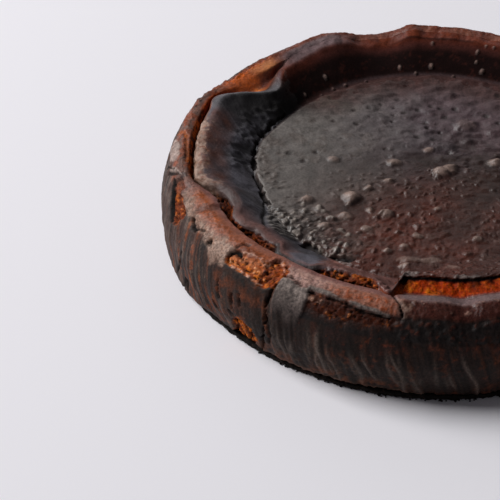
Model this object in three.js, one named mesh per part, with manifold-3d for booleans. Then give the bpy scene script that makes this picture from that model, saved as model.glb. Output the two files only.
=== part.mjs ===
// A burnt-topped baked cheesecake, whole, on a thin base of pressed dark crumb.
// The custard rose against its tin and scorched all over, then sank in the middle. It left a rolled
// lip round the top, a split behind the lip, a collar that slopes inward, and a flat blistered disc.
// Millimetres, +Z up, origin at the centre of the underside. Directions round the cake are degrees
// anticlockwise from +X, seen from above.

import * as THREE from 'three';
import { mergeVertices } from 'three/addons/utils/BufferGeometryUtils.js';
import Module from 'manifold-3d';

// Crumb base: a flat pressed disc with a ragged edge
const BASE_RADIUS = 111.2;
const BASE_HEIGHT = 2.4;
const BASE_BEVEL = 0.8;
const BASE_RAGGED = 0.55;
const BASE_LUMPS = 7; // how many times finer its lumps are than the cake's own unevenness
const BASE_STEPS = 220;
const FRONT_EDGE = { start: 250, end: 277, soft: 14, size: 0.5 }; // where the base alone spreads

// Cake side, from the foot up to the shoulder where the lip begins
const UNDERSIDE_RADIUS = 104;
const FOOT_RADIUS = 110.5;
const FOOT_HEIGHT = 3.2;
const LOW_RADIUS = 113.5;
const LOW_HEIGHT = 9;
const BELLY_RADIUS = 115;
const BELLY_HEIGHT = 17;
const UPPER_HEIGHT = 27.5;
const UPPER_OUT = 0.62; // how far it stands out from the shoulder towards the belly
const SHOULDER_RADIUS = 106.3;
const SHOULDER_HEIGHT = 34.6;
const LEFT_FOOT = { start: 160, end: 212, soft: 26, size: 1.6 }; // where the foot spreads outward
const LEFT_FOOT_RISE = 0.6; // share of that spread at the next line up
const UNEVEN_ROUND = 0.4;

// Vertical wrinkles that the side took from its paper
const WRINKLES = 38;
const WRINKLE_DEPTH = 0.5;
const WRINKLE_VARIES = 0.3; // deeper and shallower by this much, in a few stretches
const WRINKLE_STRETCHES = 3;
const WRINKLE_LEAN = 0.05; // radians for each millimetre of height

// Lip, split, collar, seam and disc where nothing else shapes them
const LIP_HEIGHT = 38.6;
const LIP_IN = 0.62; // how far the crest lies in from the shoulder towards the mouth
const MOUTH_RADIUS = 94.6; // the lip's inner edge, where the split opens
const MOUTH_DROP = 0.5;
const COLLAR_HEIGHT = 37.6;
const COLLAR_EDGE_DROP = 0.9;
const COLLAR_ROLL = 3.4; // from the collar's outer edge to its crest
const SLOPE_OUT = 0.42; // the slope's bend lies this far out from the seam and this far up from the disc
const SLOPE_UP = 0.36;
const SEAM_RADIUS = 74.2; // where the collar meets the disc
const SEAM_HEIGHT = 28.2;
const SEAM_WIDTH = 2.4;
const DISC_HEIGHT = 29.3;
const DISC_RINGS = [60, 45, 30, 15];
const DISC_SAG = 0.8; // how much lower the disc's middle lies than its edge

// How wide the split between lip and collar stands open, stretch by stretch
const SPLITS = [
  { start: 158, end: 191, soft: 8, size: 3.2 },
  { start: 192, end: 204, soft: 5, size: 6.0 },
  { start: 204, end: 212, soft: 4, size: 2.0 },
  { start: 212, end: 223, soft: 4, size: 5.4 },
  { start: 222, end: 234, soft: 5, size: 1.2 },
  { start: 234.5, end: 252.5, soft: 5, size: 5.6 },
  { start: 252, end: 258, soft: 3, size: 0.9 },
  { start: 324, end: 400, soft: 12, size: 2.6 },
];
const SPLIT_OPEN = 1; // width from which it parts the lip and collar fully
const SPLIT_STEEPNESS = 1.35; // depth for each millimetre of width
const SPLIT_DEEPEST = 6.2;

// Open rift at the front, where the disc tore away and its edge stayed up as a ledge
const RIFT = { start: 257.6, end: 316, soft: 3.4, fade: 30 };
const RIFT_DEPTH = 6.6; // below the lip
const RIFT_FLOOR_INSET = 5; // from the lip's inner edge
const LEDGE = { start: 256.6, end: 316, soft: 2.2, fade: 30 };
const LEDGE_RADIUS = 79.4;
const LEDGE_BITE = { centre: 265.5, width: 5, size: 1.2 }; // where its edge is eaten back
const LEDGE_HEIGHT = 34.4;
const LEDGE_THICKNESS = 1.4;
const LEDGE_RUN = 11; // from the ledge's edge in to the level disc
const LEDGE_FALL = [ // share of its run, and how much lower it lies there
  { share: 0.45, drop: 0.8 },
  { share: 0.7, drop: 2.2 },
  { share: 1, drop: 3.5 },
];

// Rim at the left and front left, where it is wider and higher than elsewhere
const LEFT_RIM = { start: 151, end: 193, soft: 14 };
const LEFT_WIDER = 8.6;
const LEFT_SHOULDER_WIDER = 3.6;
const LEFT_LIP_HIGHER = 0.6;
const LEFT_COLLAR_HIGHER = 2.4;
const LEFT_SEAM = { start: 158, end: 182, soft: 14, size: 2.2 };
const FRONT_SHOULDER = { start: 194, end: 228, soft: 18, size: 1.7 };
const FRONT_MOUTH = [
  { centre: 192, width: 6, size: 1.6 },
  { centre: 206, width: 9, size: 2.2 },
  { centre: 218, width: 7, size: 1.6 },
  { centre: 256, width: 2.5, size: 1.8 },
  { centre: 271, width: 13, size: -1.2 },
];
const FRONT_COLLAR = { start: 214, end: 256, soft: 10, size: -1.2 };

// Rim at the back, in one roll with a step down, and the humps and dips of the rim's crest
const BACK_RIM = { start: 52, end: 127, soft: 18 };
const BACK_LOWER = 0.9;
const BACK_WIDER = 2.4;
const BACK_STEP = { start: 50, end: 97, soft: 6, size: -1.0 };
const CREST = [
  { centre: 92.8, width: 4, size: 1.9 },
  { centre: 101, width: 8.5, size: -3.9 },
  { centre: 115.5, width: 6.5, size: 2.2 },
  { centre: 273.5, width: 3.2, size: -1.7 },
];
const CREST_AT_SHOULDER = 0.9; // how much of the crest's rise and fall reaches down the side
const CREST_AT_UPPER = 0.4;
const BACK_SEAM = { start: 60, end: 140, soft: 34, size: -1.2 };

// Pocket at the back left, where the collar folded inward away from the lip
const POCKET = { centre: 144, width: 8.5 };
const POCKET_END = 0.06; // share of its swell where it dies out at its sides
const POCKET_OPEN = 13.5;
const POCKET_WIDER = 3.5;
const POCKET_LIP_DROP = 1.6;
const POCKET_DEPTH = 2.6;
const POCKET_FILL = 0.9; // how far its own depth takes over from the split's
const POCKET_COLLAR_HIGHER = 0.9;

// Shallow places on the lip and shoulder, positive outward
const PATCHES = [
  { start: 187.5, end: 198.5, soft: 2.4, low: 23, high: 37, depth: -1.6 }, // skin peeled off the side
  { start: 217, end: 231, soft: 2.4, low: 30, high: 38, depth: -1.2 }, // crumb bared on the shoulder
  { start: 231.5, end: 238, soft: 2, low: 25, high: 37, depth: 0.9 }, // flap of skin beside the crack
  { start: 20, end: 33, soft: 3, low: 24, high: 36, depth: -1.4 }, // skin peeled off the right side
];
const PATCH_FADE = 3; // height over which a patch comes in

// Cracks cut down the side, with the radius that they reach in to, and the nick where two lengths of lip meet
const SIDE_CRACKS = [
  { angle: 230.6, low: 3, high: 33, width: 2.2, tip: 104.8 },
  { angle: 12, low: 10, high: 34, width: 1.8, tip: 105.8 },
];
const LIP_NICK = { angle: 257.6, inner: 92, outer: 108, width: 1.8, depth: 3.2 };
const CUT_CLEAR = 3; // how far a cut stands out of the skin

// Blisters on the disc: place, half width and height above it
const BLISTERS = [
  { x: 3.3, y: -0.6, size: 4.4, rise: 2.8 },
  { x: 7, y: 2, size: 4, rise: 2.3 },
  { x: -35, y: -18.5, size: 4.4, rise: 2.9 },
  { x: -21, y: -30, size: 3.4, rise: 2.3 },
  { x: -54, y: -20.5, size: 3, rise: 1.9 },
  { x: -16, y: 6.6, size: 3.2, rise: 1.5 },
  { x: 17, y: 34, size: 5.4, rise: 1.9 },
  { x: 15, y: -46.5, size: 2.4, rise: 1.6 },
  { x: 27, y: 6.2, size: 3.2, rise: 1.6 },
  { x: 46, y: -20, size: 3.6, rise: 2 },
];
const BLISTER_SIDES = 10;
const BLISTER_ROWS = 6;

const STEPS_ROUND = 150;
const ROWS_BETWEEN = 2; // rows of facets between two lines of the side and rim, and one on the disc
const WOBBLE_COUNTS = [2, 3, 5, 7, 11];
const WOBBLE_SHIFT = 7;
const MERGE_WITHIN = 1e-4;

const SKIN_COLOUR = '#3d302d';
const CRUMB_COLOUR = '#14110f';

const { lerp, smoothstep } = THREE.MathUtils;

// The disc sags a little towards its middle
const discHeight = (radius) => DISC_HEIGHT - DISC_SAG * (1 - (radius / SEAM_RADIUS) ** 2);

// How strongly a feature counts at an angle, from 0 to 1
const apart = (angle, centre) => THREE.MathUtils.euclideanModulo(angle - centre + 180, 360) - 180;
const swell = (angle, { centre, width }) => Math.exp(-((apart(angle, centre) / width) ** 2));
function stretch(angle, { start, end, soft, fade = soft }) {
  const past = apart(angle, (start + end) / 2);
  const half = (end - start) / 2;
  return smoothstep(past, -half - soft / 2, -half + soft / 2)
    * (1 - smoothstep(past, half - fade / 2, half + fade / 2));
}

// What several features add at an angle
const sumOf = (shape, angle, features) => features.reduce(
  (sum, feature) => sum + feature.size * shape(angle, feature), 0);

// A slow uneven wave round the cake, within about -1 to 1
function slowWave(angle, shift) {
  const turn = THREE.MathUtils.degToRad(angle) + shift;
  const sum = WOBBLE_COUNTS.reduce((total, count) => total + Math.cos(count * turn), 0);
  return (2 * sum) / WOBBLE_COUNTS.length;
}
const wobble = (angle) => slowWave(angle, WOBBLE_SHIFT);
const crestWobble = (angle) => slowWave(angle, WOBBLE_SHIFT + 4);
const baseWobble = (angle) => slowWave(angle, WOBBLE_SHIFT + 8);

// The profile's lines at one angle, as [radius, height], from the underside up and in to the middle
function profileLines(angle) {
  const left = stretch(angle, LEFT_RIM);
  const back = stretch(angle, BACK_RIM);
  const pocket = Math.max(swell(angle, POCKET) - POCKET_END, 0) / (1 - POCKET_END);
  const rift = stretch(angle, RIFT);
  const ledge = stretch(angle, LEDGE);
  const ledgeEdge = LEDGE_RADIUS - sumOf(swell, angle, [LEDGE_BITE]);
  const crest = sumOf(swell, angle, CREST) + sumOf(stretch, angle, [BACK_STEP]) - BACK_LOWER * back;

  const spread = sumOf(stretch, angle, [LEFT_FOOT]);
  const belly = BELLY_RADIUS + UNEVEN_ROUND * wobble(angle);
  const shoulder = SHOULDER_RADIUS + LEFT_SHOULDER_WIDER * left + sumOf(stretch, angle, [FRONT_SHOULDER]);

  const mouth = MOUTH_RADIUS + LEFT_WIDER * left + BACK_WIDER * back + POCKET_WIDER * pocket
    + sumOf(swell, angle, FRONT_MOUTH);
  const lipHeight = LIP_HEIGHT + LEFT_LIP_HIGHER * left + crest - POCKET_LIP_DROP * pocket
    + UNEVEN_ROUND * crestWobble(angle);

  const splitWidth = sumOf(stretch, angle, SPLITS) + POCKET_OPEN * pocket;
  const splitDepth = MOUTH_DROP + Math.min(SPLIT_STEEPNESS * splitWidth, SPLIT_DEEPEST);
  const pocketed = lerp(splitDepth, POCKET_DEPTH, POCKET_FILL * Math.sqrt(pocket));
  const floorDepth = lerp(pocketed, RIFT_DEPTH, rift);
  const floor = mouth - lerp(splitWidth / 2, RIFT_FLOOR_INSET, rift);

  const collarHeight = COLLAR_HEIGHT + LEFT_COLLAR_HIGHER * left + crest + POCKET_COLLAR_HIGHER * pocket
    + sumOf(stretch, angle, [FRONT_COLLAR]);
  const collar = mouth - splitWidth - COLLAR_ROLL;
  const parted = Math.min(splitWidth / SPLIT_OPEN, 1);
  const collarEdgeHeight = lerp(lipHeight - MOUTH_DROP, collarHeight - COLLAR_EDGE_DROP, parted);
  const seam = SEAM_RADIUS + sumOf(stretch, angle, [LEFT_SEAM, BACK_SEAM]);

  const outerLines = [
    [UNDERSIDE_RADIUS, BASE_HEIGHT],
    [FOOT_RADIUS + spread, FOOT_HEIGHT],
    [LOW_RADIUS + LEFT_FOOT_RISE * spread, LOW_HEIGHT],
    [belly, BELLY_HEIGHT],
    [lerp(shoulder, belly, UPPER_OUT), UPPER_HEIGHT + CREST_AT_UPPER * crest],
    [shoulder, SHOULDER_HEIGHT + CREST_AT_SHOULDER * crest],
    [lerp(shoulder, mouth, LIP_IN), lipHeight],
    [mouth, lipHeight - MOUTH_DROP],
    [floor, lipHeight - floorDepth],
    [
      lerp(mouth - splitWidth, ledgeEdge, ledge),
      lerp(collarEdgeHeight, LEDGE_HEIGHT - LEDGE_THICKNESS, ledge),
    ],
    [lerp(collar, ledgeEdge - LEDGE_THICKNESS, ledge), lerp(collarHeight, LEDGE_HEIGHT, ledge)],
  ];
  const innerLines = [
    [lerp(seam, collar, SLOPE_OUT), lerp(DISC_HEIGHT, collarHeight, SLOPE_UP)],
    [seam, SEAM_HEIGHT],
    [seam - SEAM_WIDTH, DISC_HEIGHT],
  ].map(([radius, height], i) => [
    lerp(radius, LEDGE_RADIUS - LEDGE_FALL[i].share * LEDGE_RUN, ledge),
    lerp(height, LEDGE_HEIGHT - LEDGE_FALL[i].drop, ledge),
  ]);
  const discLines = DISC_RINGS.map((radius) => [radius, discHeight(radius)]);
  return [...outerLines, ...innerLines, ...discLines];
}

// A smooth curve through the lines that never swings past them: each line's slope is the harmonic
// mean of the slopes beside it, and none where the curve turns back
function smoothProfile(lines) {
  const slopes = lines.map((line, i) => line.map((value, axis) => {
    if (i === 0 || i === lines.length - 1) return 0;
    const before = value - lines[i - 1][axis];
    const after = lines[i + 1][axis] - value;
    return before * after > 0 ? (2 * before * after) / (before + after) : 0;
  }));
  const rows = [lines[0]];
  for (let i = 1; i < lines.length; i += 1) {
    const steps = i < lines.length - DISC_RINGS.length ? ROWS_BETWEEN : 1;
    for (let step = 1; step <= steps; step += 1) {
      const t = step / steps;
      const ahead = t * t * (3 - 2 * t);
      rows.push([0, 1].map((axis) => (1 - ahead) * lines[i - 1][axis] + ahead * lines[i][axis]
        + t * (1 - t) * ((1 - t) * slopes[i - 1][axis] - t * slopes[i][axis])));
    }
  }
  return rows;
}

// Wrinkles and patches move the side and shoulder in and out
function sideRelief(angle, height) {
  const turn = THREE.MathUtils.degToRad(angle);
  const onSide = smoothstep(height, FOOT_HEIGHT, LOW_HEIGHT)
    * (1 - smoothstep(height, UPPER_HEIGHT, SHOULDER_HEIGHT));
  const wrinkle = onSide * (WRINKLE_DEPTH + WRINKLE_VARIES * wobble(WRINKLE_STRETCHES * angle))
    * Math.cos(WRINKLES * turn + WRINKLE_LEAN * height + wobble(angle));
  return PATCHES.reduce((sum, patch) => sum + patch.depth * stretch(angle, patch)
    * smoothstep(height, patch.low, patch.low + PATCH_FADE)
    * (1 - smoothstep(height, patch.high - PATCH_FADE, patch.high)), wrinkle);
}

// A closed skin of rings round the axis, each ring's points as [x, y, z], capped at both ends
function ringedSolid(rings, bottom, top) {
  const steps = rings[0].length;
  const points = [...rings.flat(), bottom, top];
  const bottomPoint = points.length - 2;
  const topPoint = points.length - 1;
  const lastRing = (rings.length - 1) * steps;
  const faces = [];
  for (let i = 0; i < steps; i += 1) {
    const next = (i + 1) % steps;
    faces.push(bottomPoint, next, i);
    for (let row = 0; row < rings.length - 1; row += 1) {
      const here = row * steps;
      const above = here + steps;
      faces.push(here + i, here + next, above + next);
      faces.push(here + i, above + next, above + i);
    }
    faces.push(lastRing + i, lastRing + next, topPoint);
  }
  const geometry = new THREE.BufferGeometry();
  geometry.setAttribute('position', new THREE.Float32BufferAttribute(points.flat(), 3));
  geometry.setIndex(faces);
  return geometry;
}

// A ring of points at the given heights, one for each step round the cake
function ring(steps, radiusAndHeight) {
  return Array.from({ length: steps }, (_, i) => {
    const [radius, height] = radiusAndHeight((i * 360) / steps, i);
    const turn = (i * 2 * Math.PI) / steps;
    return [radius * Math.cos(turn), radius * Math.sin(turn), height];
  });
}

const wasm = await Module();
wasm.setup();

function toSolid(geometry) {
  const bare = geometry.clone();
  bare.deleteAttribute('normal');
  bare.deleteAttribute('uv');
  const merged = mergeVertices(bare, MERGE_WITHIN);
  return new wasm.Manifold(new wasm.Mesh({
    numProp: 3,
    vertProperties: new Float32Array(merged.attributes.position.array),
    triVerts: new Uint32Array(merged.index.array),
  }));
}

function toGeometry(solid) {
  const mesh = solid.getMesh();
  const geometry = new THREE.BufferGeometry();
  geometry.setAttribute('position', new THREE.BufferAttribute(mesh.vertProperties, 3));
  geometry.setIndex(new THREE.BufferAttribute(mesh.triVerts, 1));
  geometry.computeVertexNormals();
  return geometry;
}

// Cake body without its blisters and cracks
function cakeSkin() {
  const profiles = Array.from({ length: STEPS_ROUND }, (_, i) => {
    const angle = (i * 360) / STEPS_ROUND;
    return smoothProfile(profileLines(angle)).map(([radius, height]) => {
      const relief = radius > MOUTH_RADIUS ? sideRelief(angle, height) : 0;
      return [radius + relief, height];
    });
  });
  const rings = profiles[0].map((_, row) => ring(STEPS_ROUND, (angle, i) => profiles[i][row]));
  return ringedSolid(rings, [0, 0, BASE_HEIGHT], [0, 0, DISC_HEIGHT - DISC_SAG]);
}

// A blister is a low dome whose lower half is sunk in the disc
function blisterDome({ x, y, size, rise }) {
  const dome = new THREE.SphereGeometry(1, BLISTER_SIDES, BLISTER_ROWS);
  dome.rotateX(Math.PI / 2);
  dome.scale(size, size, rise);
  dome.translate(x, y, discHeight(Math.hypot(x, y)));
  return dome;
}

// A crack is a thin wedge, widest at the skin, that points at the axis
function crackWedge({ angle, low, high, width, tip }) {
  const outer = BELLY_RADIUS + CUT_CLEAR;
  const outline = new THREE.Shape();
  outline.moveTo(tip, 0);
  outline.lineTo(outer, -width / 2);
  outline.lineTo(outer, width / 2);
  outline.closePath();
  const wedge = new THREE.ExtrudeGeometry(outline, { depth: high - low, bevelEnabled: false });
  wedge.translate(0, 0, low);
  wedge.rotateZ(THREE.MathUtils.degToRad(angle));
  return wedge;
}

// The nick across the lip is a trough with sloping sides, open above
function nickTrough({ angle, inner, outer, width, depth }) {
  const outline = new THREE.Shape();
  outline.moveTo(0, -depth);
  outline.lineTo(width, CUT_CLEAR);
  outline.lineTo(-width, CUT_CLEAR);
  outline.closePath();
  const trough = new THREE.ExtrudeGeometry(outline, { depth: outer - inner, bevelEnabled: false });
  trough.rotateX(Math.PI / 2);
  trough.rotateZ(Math.PI / 2);
  trough.translate(inner, 0, LIP_HEIGHT);
  trough.rotateZ(THREE.MathUtils.degToRad(angle));
  return trough;
}

function makeCheesecake() {
  let solid = toSolid(cakeSkin());
  for (const blister of BLISTERS) solid = solid.add(toSolid(blisterDome(blister)));
  for (const crack of SIDE_CRACKS) solid = solid.subtract(toSolid(crackWedge(crack)));
  solid = solid.subtract(toSolid(nickTrough(LIP_NICK)));
  const skin = new THREE.MeshStandardMaterial({ color: SKIN_COLOUR, roughness: 0.6, metalness: 0 });
  const mesh = new THREE.Mesh(toGeometry(solid), skin);
  mesh.name = 'cheesecake';
  return mesh;
}

function makeCrumbBase() {
  const edge = (angle, i) => BASE_RADIUS + sumOf(stretch, angle, [LEFT_FOOT, FRONT_EDGE])
    + (BASE_RAGGED / 2) * (baseWobble(BASE_LUMPS * angle) + (i % 3) - 1);
  const rings = [
    ring(BASE_STEPS, (angle, i) => [edge(angle, i) - BASE_BEVEL, 0]),
    ring(BASE_STEPS, (angle, i) => [edge(angle, i), BASE_HEIGHT / 2]),
    ring(BASE_STEPS, (angle, i) => [edge(angle, i) - BASE_BEVEL, BASE_HEIGHT]),
  ];
  const crumb = new THREE.MeshStandardMaterial({ color: CRUMB_COLOUR, roughness: 0.9, metalness: 0 });
  const mesh = new THREE.Mesh(ringedSolid(rings, [0, 0, 0], [0, 0, BASE_HEIGHT]), crumb);
  mesh.name = 'crumb_base';
  return mesh;
}

const cake = new THREE.Group();
cake.add(makeCrumbBase(), makeCheesecake());

export default cake;
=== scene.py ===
import math

import bpy
import numpy as np
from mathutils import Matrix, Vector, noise


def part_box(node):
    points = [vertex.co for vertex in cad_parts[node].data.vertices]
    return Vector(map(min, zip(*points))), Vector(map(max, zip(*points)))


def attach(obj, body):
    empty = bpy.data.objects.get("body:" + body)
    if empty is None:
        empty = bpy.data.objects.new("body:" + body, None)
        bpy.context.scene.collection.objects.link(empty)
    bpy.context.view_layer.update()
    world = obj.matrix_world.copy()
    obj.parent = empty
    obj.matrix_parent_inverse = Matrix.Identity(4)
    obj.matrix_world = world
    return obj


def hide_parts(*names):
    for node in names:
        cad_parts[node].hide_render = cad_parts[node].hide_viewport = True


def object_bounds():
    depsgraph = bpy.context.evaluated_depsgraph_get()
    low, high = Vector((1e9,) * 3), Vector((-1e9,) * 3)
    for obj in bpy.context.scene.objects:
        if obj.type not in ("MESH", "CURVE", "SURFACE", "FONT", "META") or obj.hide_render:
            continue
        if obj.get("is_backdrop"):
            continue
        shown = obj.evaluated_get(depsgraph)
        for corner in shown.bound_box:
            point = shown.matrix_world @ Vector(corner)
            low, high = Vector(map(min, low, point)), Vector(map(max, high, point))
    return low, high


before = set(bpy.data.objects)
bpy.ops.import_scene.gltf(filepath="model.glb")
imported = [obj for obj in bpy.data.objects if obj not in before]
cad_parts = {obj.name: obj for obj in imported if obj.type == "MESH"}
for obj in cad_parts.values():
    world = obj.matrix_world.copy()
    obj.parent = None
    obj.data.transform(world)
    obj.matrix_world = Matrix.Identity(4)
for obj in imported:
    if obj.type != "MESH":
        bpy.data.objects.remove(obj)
cad_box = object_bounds()


# Crumb base
# A thin layer of crushed dark biscuit, pressed into the tin by hand and baked under the custard.
# Its edge scorched black and broke up into grit, so it shows as a rough dark line round the foot.
MM = 0.001
base_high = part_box("crumb_base")[1]
BASE_EDGE = base_high.x / MM
BASE_HEIGHT = base_high.z / MM
LEFT_FOOT = (160, 212, 26, 1.6)  # start, end, soft in degrees, and how far the foot spreads there in mm
FRONT_EDGE = (250, 277, 14, 0.5)  # the same for the base alone
BASE_COLUMNS = 1100
BASE_ROUND_ROWS = 11
BASE_FLAT_RUN = 9.0  # flat part modelled finely at the top and underside, next to the edge
GRIT_SIZE = 2.3  # a biscuit crumb, pressed
GRIT_RISE = 1.1
LEFT_SMOOTHER = 0.7
DUST_SIZE = 0.9
DUST_RISE = 0.45


def ramp(value, low, high):
    """0 below low, 1 above high, with a soft start and end."""
    t = np.clip((value - low) / (high - low), 0, 1)
    return t * t * (3 - 2 * t)


def apart(angle, centre):
    return (angle - centre + 180) % 360 - 180


def stretch(angle, start, end, soft, fade=None):
    """1 between two angles, and 0 outside them, with soft ends."""
    past = apart(angle, (start + end) / 2)
    half = (end - start) / 2
    fade = fade or soft
    opening = ramp(past, -half - soft / 2, -half + soft / 2)
    return opening * (1 - ramp(past, half - fade / 2, half + fade / 2))


def sum_of(shape, angle, features):
    """What several features add at each angle; the last number of each is its size."""
    return sum(size * shape(angle, *where) for *where, size in features)


def uneven(points, size, octaves=2, shift=0.0):
    """A smooth chance value of about -1 to 1 at each point; size is its largest lump in mm."""
    spots = (points / size + shift).tolist()
    return np.array([noise.fractal(spot, 1.0, 2.0, octaves) for spot in spots])


def cells(points, size, shift=0.0):
    """How far each point is from the middle of its cell, in cells about size mm wide."""
    spots = (points / size + shift).tolist()
    return np.array([noise.voronoi(spot)[0][0] for spot in spots])


def polar(angle, radius, height):
    turn = np.radians(angle)
    return np.stack([radius * np.cos(turn), radius * np.sin(turn), height + 0 * turn], axis=-1)


def ring_faces(counts):
    """Faces of a skin made of rings, each with as many points as the one before or half as many.

    The last two points, after all rings, close the first ring and the last one."""
    starts = np.concatenate([[0], np.cumsum(counts)])
    faces = []
    for ring, (here, count) in enumerate(zip(starts, counts)):
        i = np.arange(count)
        j = (i + 1) % count
        if ring == 0:
            faces += np.stack([np.full(count, starts[-1]), here + j, here + i], axis=1).tolist()
        if ring == len(counts) - 1:
            faces += np.stack([here + i, here + j, np.full(count, starts[-1] + 1)], axis=1).tolist()
            break
        above = starts[ring + 1]
        if counts[ring + 1] == count:
            faces += np.stack([here + i, here + j, above + j, above + i], axis=1).tolist()
            continue
        half = np.arange(count // 2)
        after = (half + 1) % (count // 2)
        middle = here + 2 * half + 1
        beyond = here + (2 * half + 2) % count
        faces += np.stack([here + 2 * half, middle, above + half], axis=1).tolist()
        faces += np.stack([middle, beyond, above + after], axis=1).tolist()
        faces += np.stack([middle, above + after, above + half], axis=1).tolist()
    return faces


def new_piece(name, points, faces):
    """A smooth-shaded mesh object from points in mm."""
    mesh = bpy.data.meshes.new(name)
    mesh.from_pydata((points * MM).tolist(), [], faces)
    mesh.polygons.foreach_set("use_smooth", [True] * len(mesh.polygons))
    mesh.update()
    piece = bpy.data.objects.new(name, mesh)
    bpy.context.scene.collection.objects.link(piece)
    return piece


def normals_of(piece):
    found = np.empty(len(piece.data.vertices) * 3, np.float32)
    piece.data.vertex_normals.foreach_get("vector", found)
    return found.reshape(-1, 3).astype(float)


def move_points(piece, points):
    piece.data.vertices.foreach_set("co", (points * MM).ravel())
    piece.data.update()


base_angle = np.arange(BASE_COLUMNS) * 360 / BASE_COLUMNS
base_edge = BASE_EDGE + sum_of(stretch, base_angle, [LEFT_FOOT, FRONT_EDGE])
base_round = BASE_HEIGHT / 2
base_rows = [(base_round + BASE_FLAT_RUN, 0.0)]  # how far in from the edge, and how high
for step in np.linspace(-90, 90, BASE_ROUND_ROWS):
    tilt = math.radians(step)
    base_rows.append((base_round * (1 - math.cos(tilt)), base_round * (1 + math.sin(tilt))))
base_rows.append((base_round + BASE_FLAT_RUN, BASE_HEIGHT))
base_points = np.concatenate([polar(base_angle, base_edge - inset, height) for inset, height in base_rows])
base_points = np.concatenate([base_points, [[0, 0, 0], [0, 0, BASE_HEIGHT]]])
crumb_base = new_piece("pressed_crumb_base", base_points, ring_faces([BASE_COLUMNS] * len(base_rows)))
grit = GRIT_RISE * (0.5 - cells(base_points, GRIT_SIZE)) + DUST_RISE * uneven(base_points, DUST_SIZE)
base_reach = np.hypot(base_points[:, 0], base_points[:, 1])
grit *= ramp(base_reach, BASE_EDGE - BASE_FLAT_RUN, BASE_EDGE - base_round)
base_turn = np.degrees(np.arctan2(base_points[:, 1], base_points[:, 0]))
grit *= 1 - LEFT_SMOOTHER * stretch(base_turn, *LEFT_FOOT[:3])
base_points += normals_of(crumb_base) * grit[:, None]
base_points[:, 2] = np.clip(base_points[:, 2], 0, None)
move_points(crumb_base, base_points)


def paint(code):
    """A colour socket's value from an sRGB hex code."""
    parts = [int(code[i:i + 2], 16) / 255 for i in (1, 3, 5)]
    return (*[p / 12.92 if p <= 0.04045 else ((p + 0.055) / 1.055) ** 2.4 for p in parts], 1.0)


def add_node(tree, kind, inputs=None, **settings):
    """A node with its settings; each input is a value or the socket that is linked to it."""
    made = tree.nodes.new(kind)
    for name, value in settings.items():
        setattr(made, name, value)
    for name, value in (inputs or {}).items():
        if isinstance(value, bpy.types.NodeSocket):
            tree.links.new(value, made.inputs[name])
        else:
            made.inputs[name].default_value = value
    return made


def new_material(name):
    """An empty material and the object's own coordinates in metres."""
    material = bpy.data.materials.new(name)
    material.use_nodes = True
    tree = material.node_tree
    tree.nodes.clear()
    place = add_node(tree, "ShaderNodeTexCoord").outputs["Object"]
    return material, tree, place


# Scorched biscuit crumb, pressed: nearly black, dull and dusty, with a few brown grains that burnt less
BISCUIT_BLACK = "#120e0c"
BISCUIT_BROWN = "#33241b"
BISCUIT_GRAIN = 0.8  # mm
crumb_black, tree, place = new_material("scorched_biscuit_crumb")
grain = add_node(tree, "ShaderNodeTexNoise", {
    "Vector": place, "Scale": 1 / (BISCUIT_GRAIN * MM), "Detail": 3.0, "Roughness": 0.6})
browned = add_node(tree, "ShaderNodeMapRange", {
    "Value": grain.outputs["Fac"], "From Min": 0.55, "From Max": 0.72})
biscuit = add_node(tree, "ShaderNodeMix", {
    0: browned.outputs["Result"], 6: paint(BISCUIT_BLACK), 7: paint(BISCUIT_BROWN)}, data_type="RGBA")
dusty = add_node(tree, "ShaderNodeBump", {
    "Height": grain.outputs["Fac"], "Strength": 0.6, "Distance": 0.3 * MM})
shader = add_node(tree, "ShaderNodeBsdfPrincipled", {
    "Base Color": biscuit.outputs[2], "Roughness": 0.88, "IOR": 1.45, "Specular IOR Level": 0.2,
    "Normal": dusty.outputs["Normal"]})
add_node(tree, "ShaderNodeOutputMaterial", {"Surface": shader.outputs["BSDF"]})
crumb_base.data.materials.append(crumb_black)
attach(crumb_base, "root")
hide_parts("crumb_base")

# Loose crumbs
# Bits of the same biscuit that broke off the base's scorched edge as the cake was moved.
# They are under a millimetre across and lie close round the edge, most of them in front.
LOOSE_CRUMBS = 90
CRUMBS_IN_FRONT = 55
FRONT_TURN = (226, 285)  # degrees
OTHER_TURN = (285, 500)
CRUMB_SIZES = (0.2, 0.45)  # mm
LARGER = 0.4  # how much more a few of them measure
CRUMB_PAST = (-0.8, 0.3)  # mm past the base's edge
FARTHER = 0.9  # how much farther out a few of them lie
LUMP_SIDES = 7
LUMP_RINGS = ((0.7, -0.6), (1.0, 0.0), (0.7, 0.6))  # radius and height, as shares of its size
LUMP_TIP = 0.9
crumb_chance = np.random.default_rng(5)
lump = [polar(np.arange(LUMP_SIDES) * 360 / LUMP_SIDES, ring, height) for ring, height in LUMP_RINGS]
lump = np.concatenate([*lump, [[0, 0, -LUMP_TIP], [0, 0, LUMP_TIP]]])
lump_faces = ring_faces([LUMP_SIDES] * len(LUMP_RINGS))
crumb_points, crumb_faces = [], []
for crumb in range(LOOSE_CRUMBS):
    turn = crumb_chance.uniform(*(FRONT_TURN if crumb < CRUMBS_IN_FRONT else OTHER_TURN))
    size = crumb_chance.uniform(*CRUMB_SIZES) + LARGER * crumb_chance.random() ** 6
    reach = BASE_EDGE + sum_of(stretch, turn, [LEFT_FOOT, FRONT_EDGE]) + crumb_chance.uniform(*CRUMB_PAST)
    reach += FARTHER * crumb_chance.random() ** 6
    shape = size * (lump * crumb_chance.uniform(0.7, 1.3, 3) + crumb_chance.normal(0, 0.12, lump.shape))
    shape += polar(turn, reach, 0.7 * size)
    shape[:, 2] = np.clip(shape[:, 2], 0, None)
    crumb_points.append(shape)
    crumb_faces += [[corner + crumb * len(lump) for corner in face] for face in lump_faces]
loose_crumbs = new_piece("loose_biscuit_crumbs", np.concatenate(crumb_points), crumb_faces)
loose_crumbs.data.materials.append(crumb_black)
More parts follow.
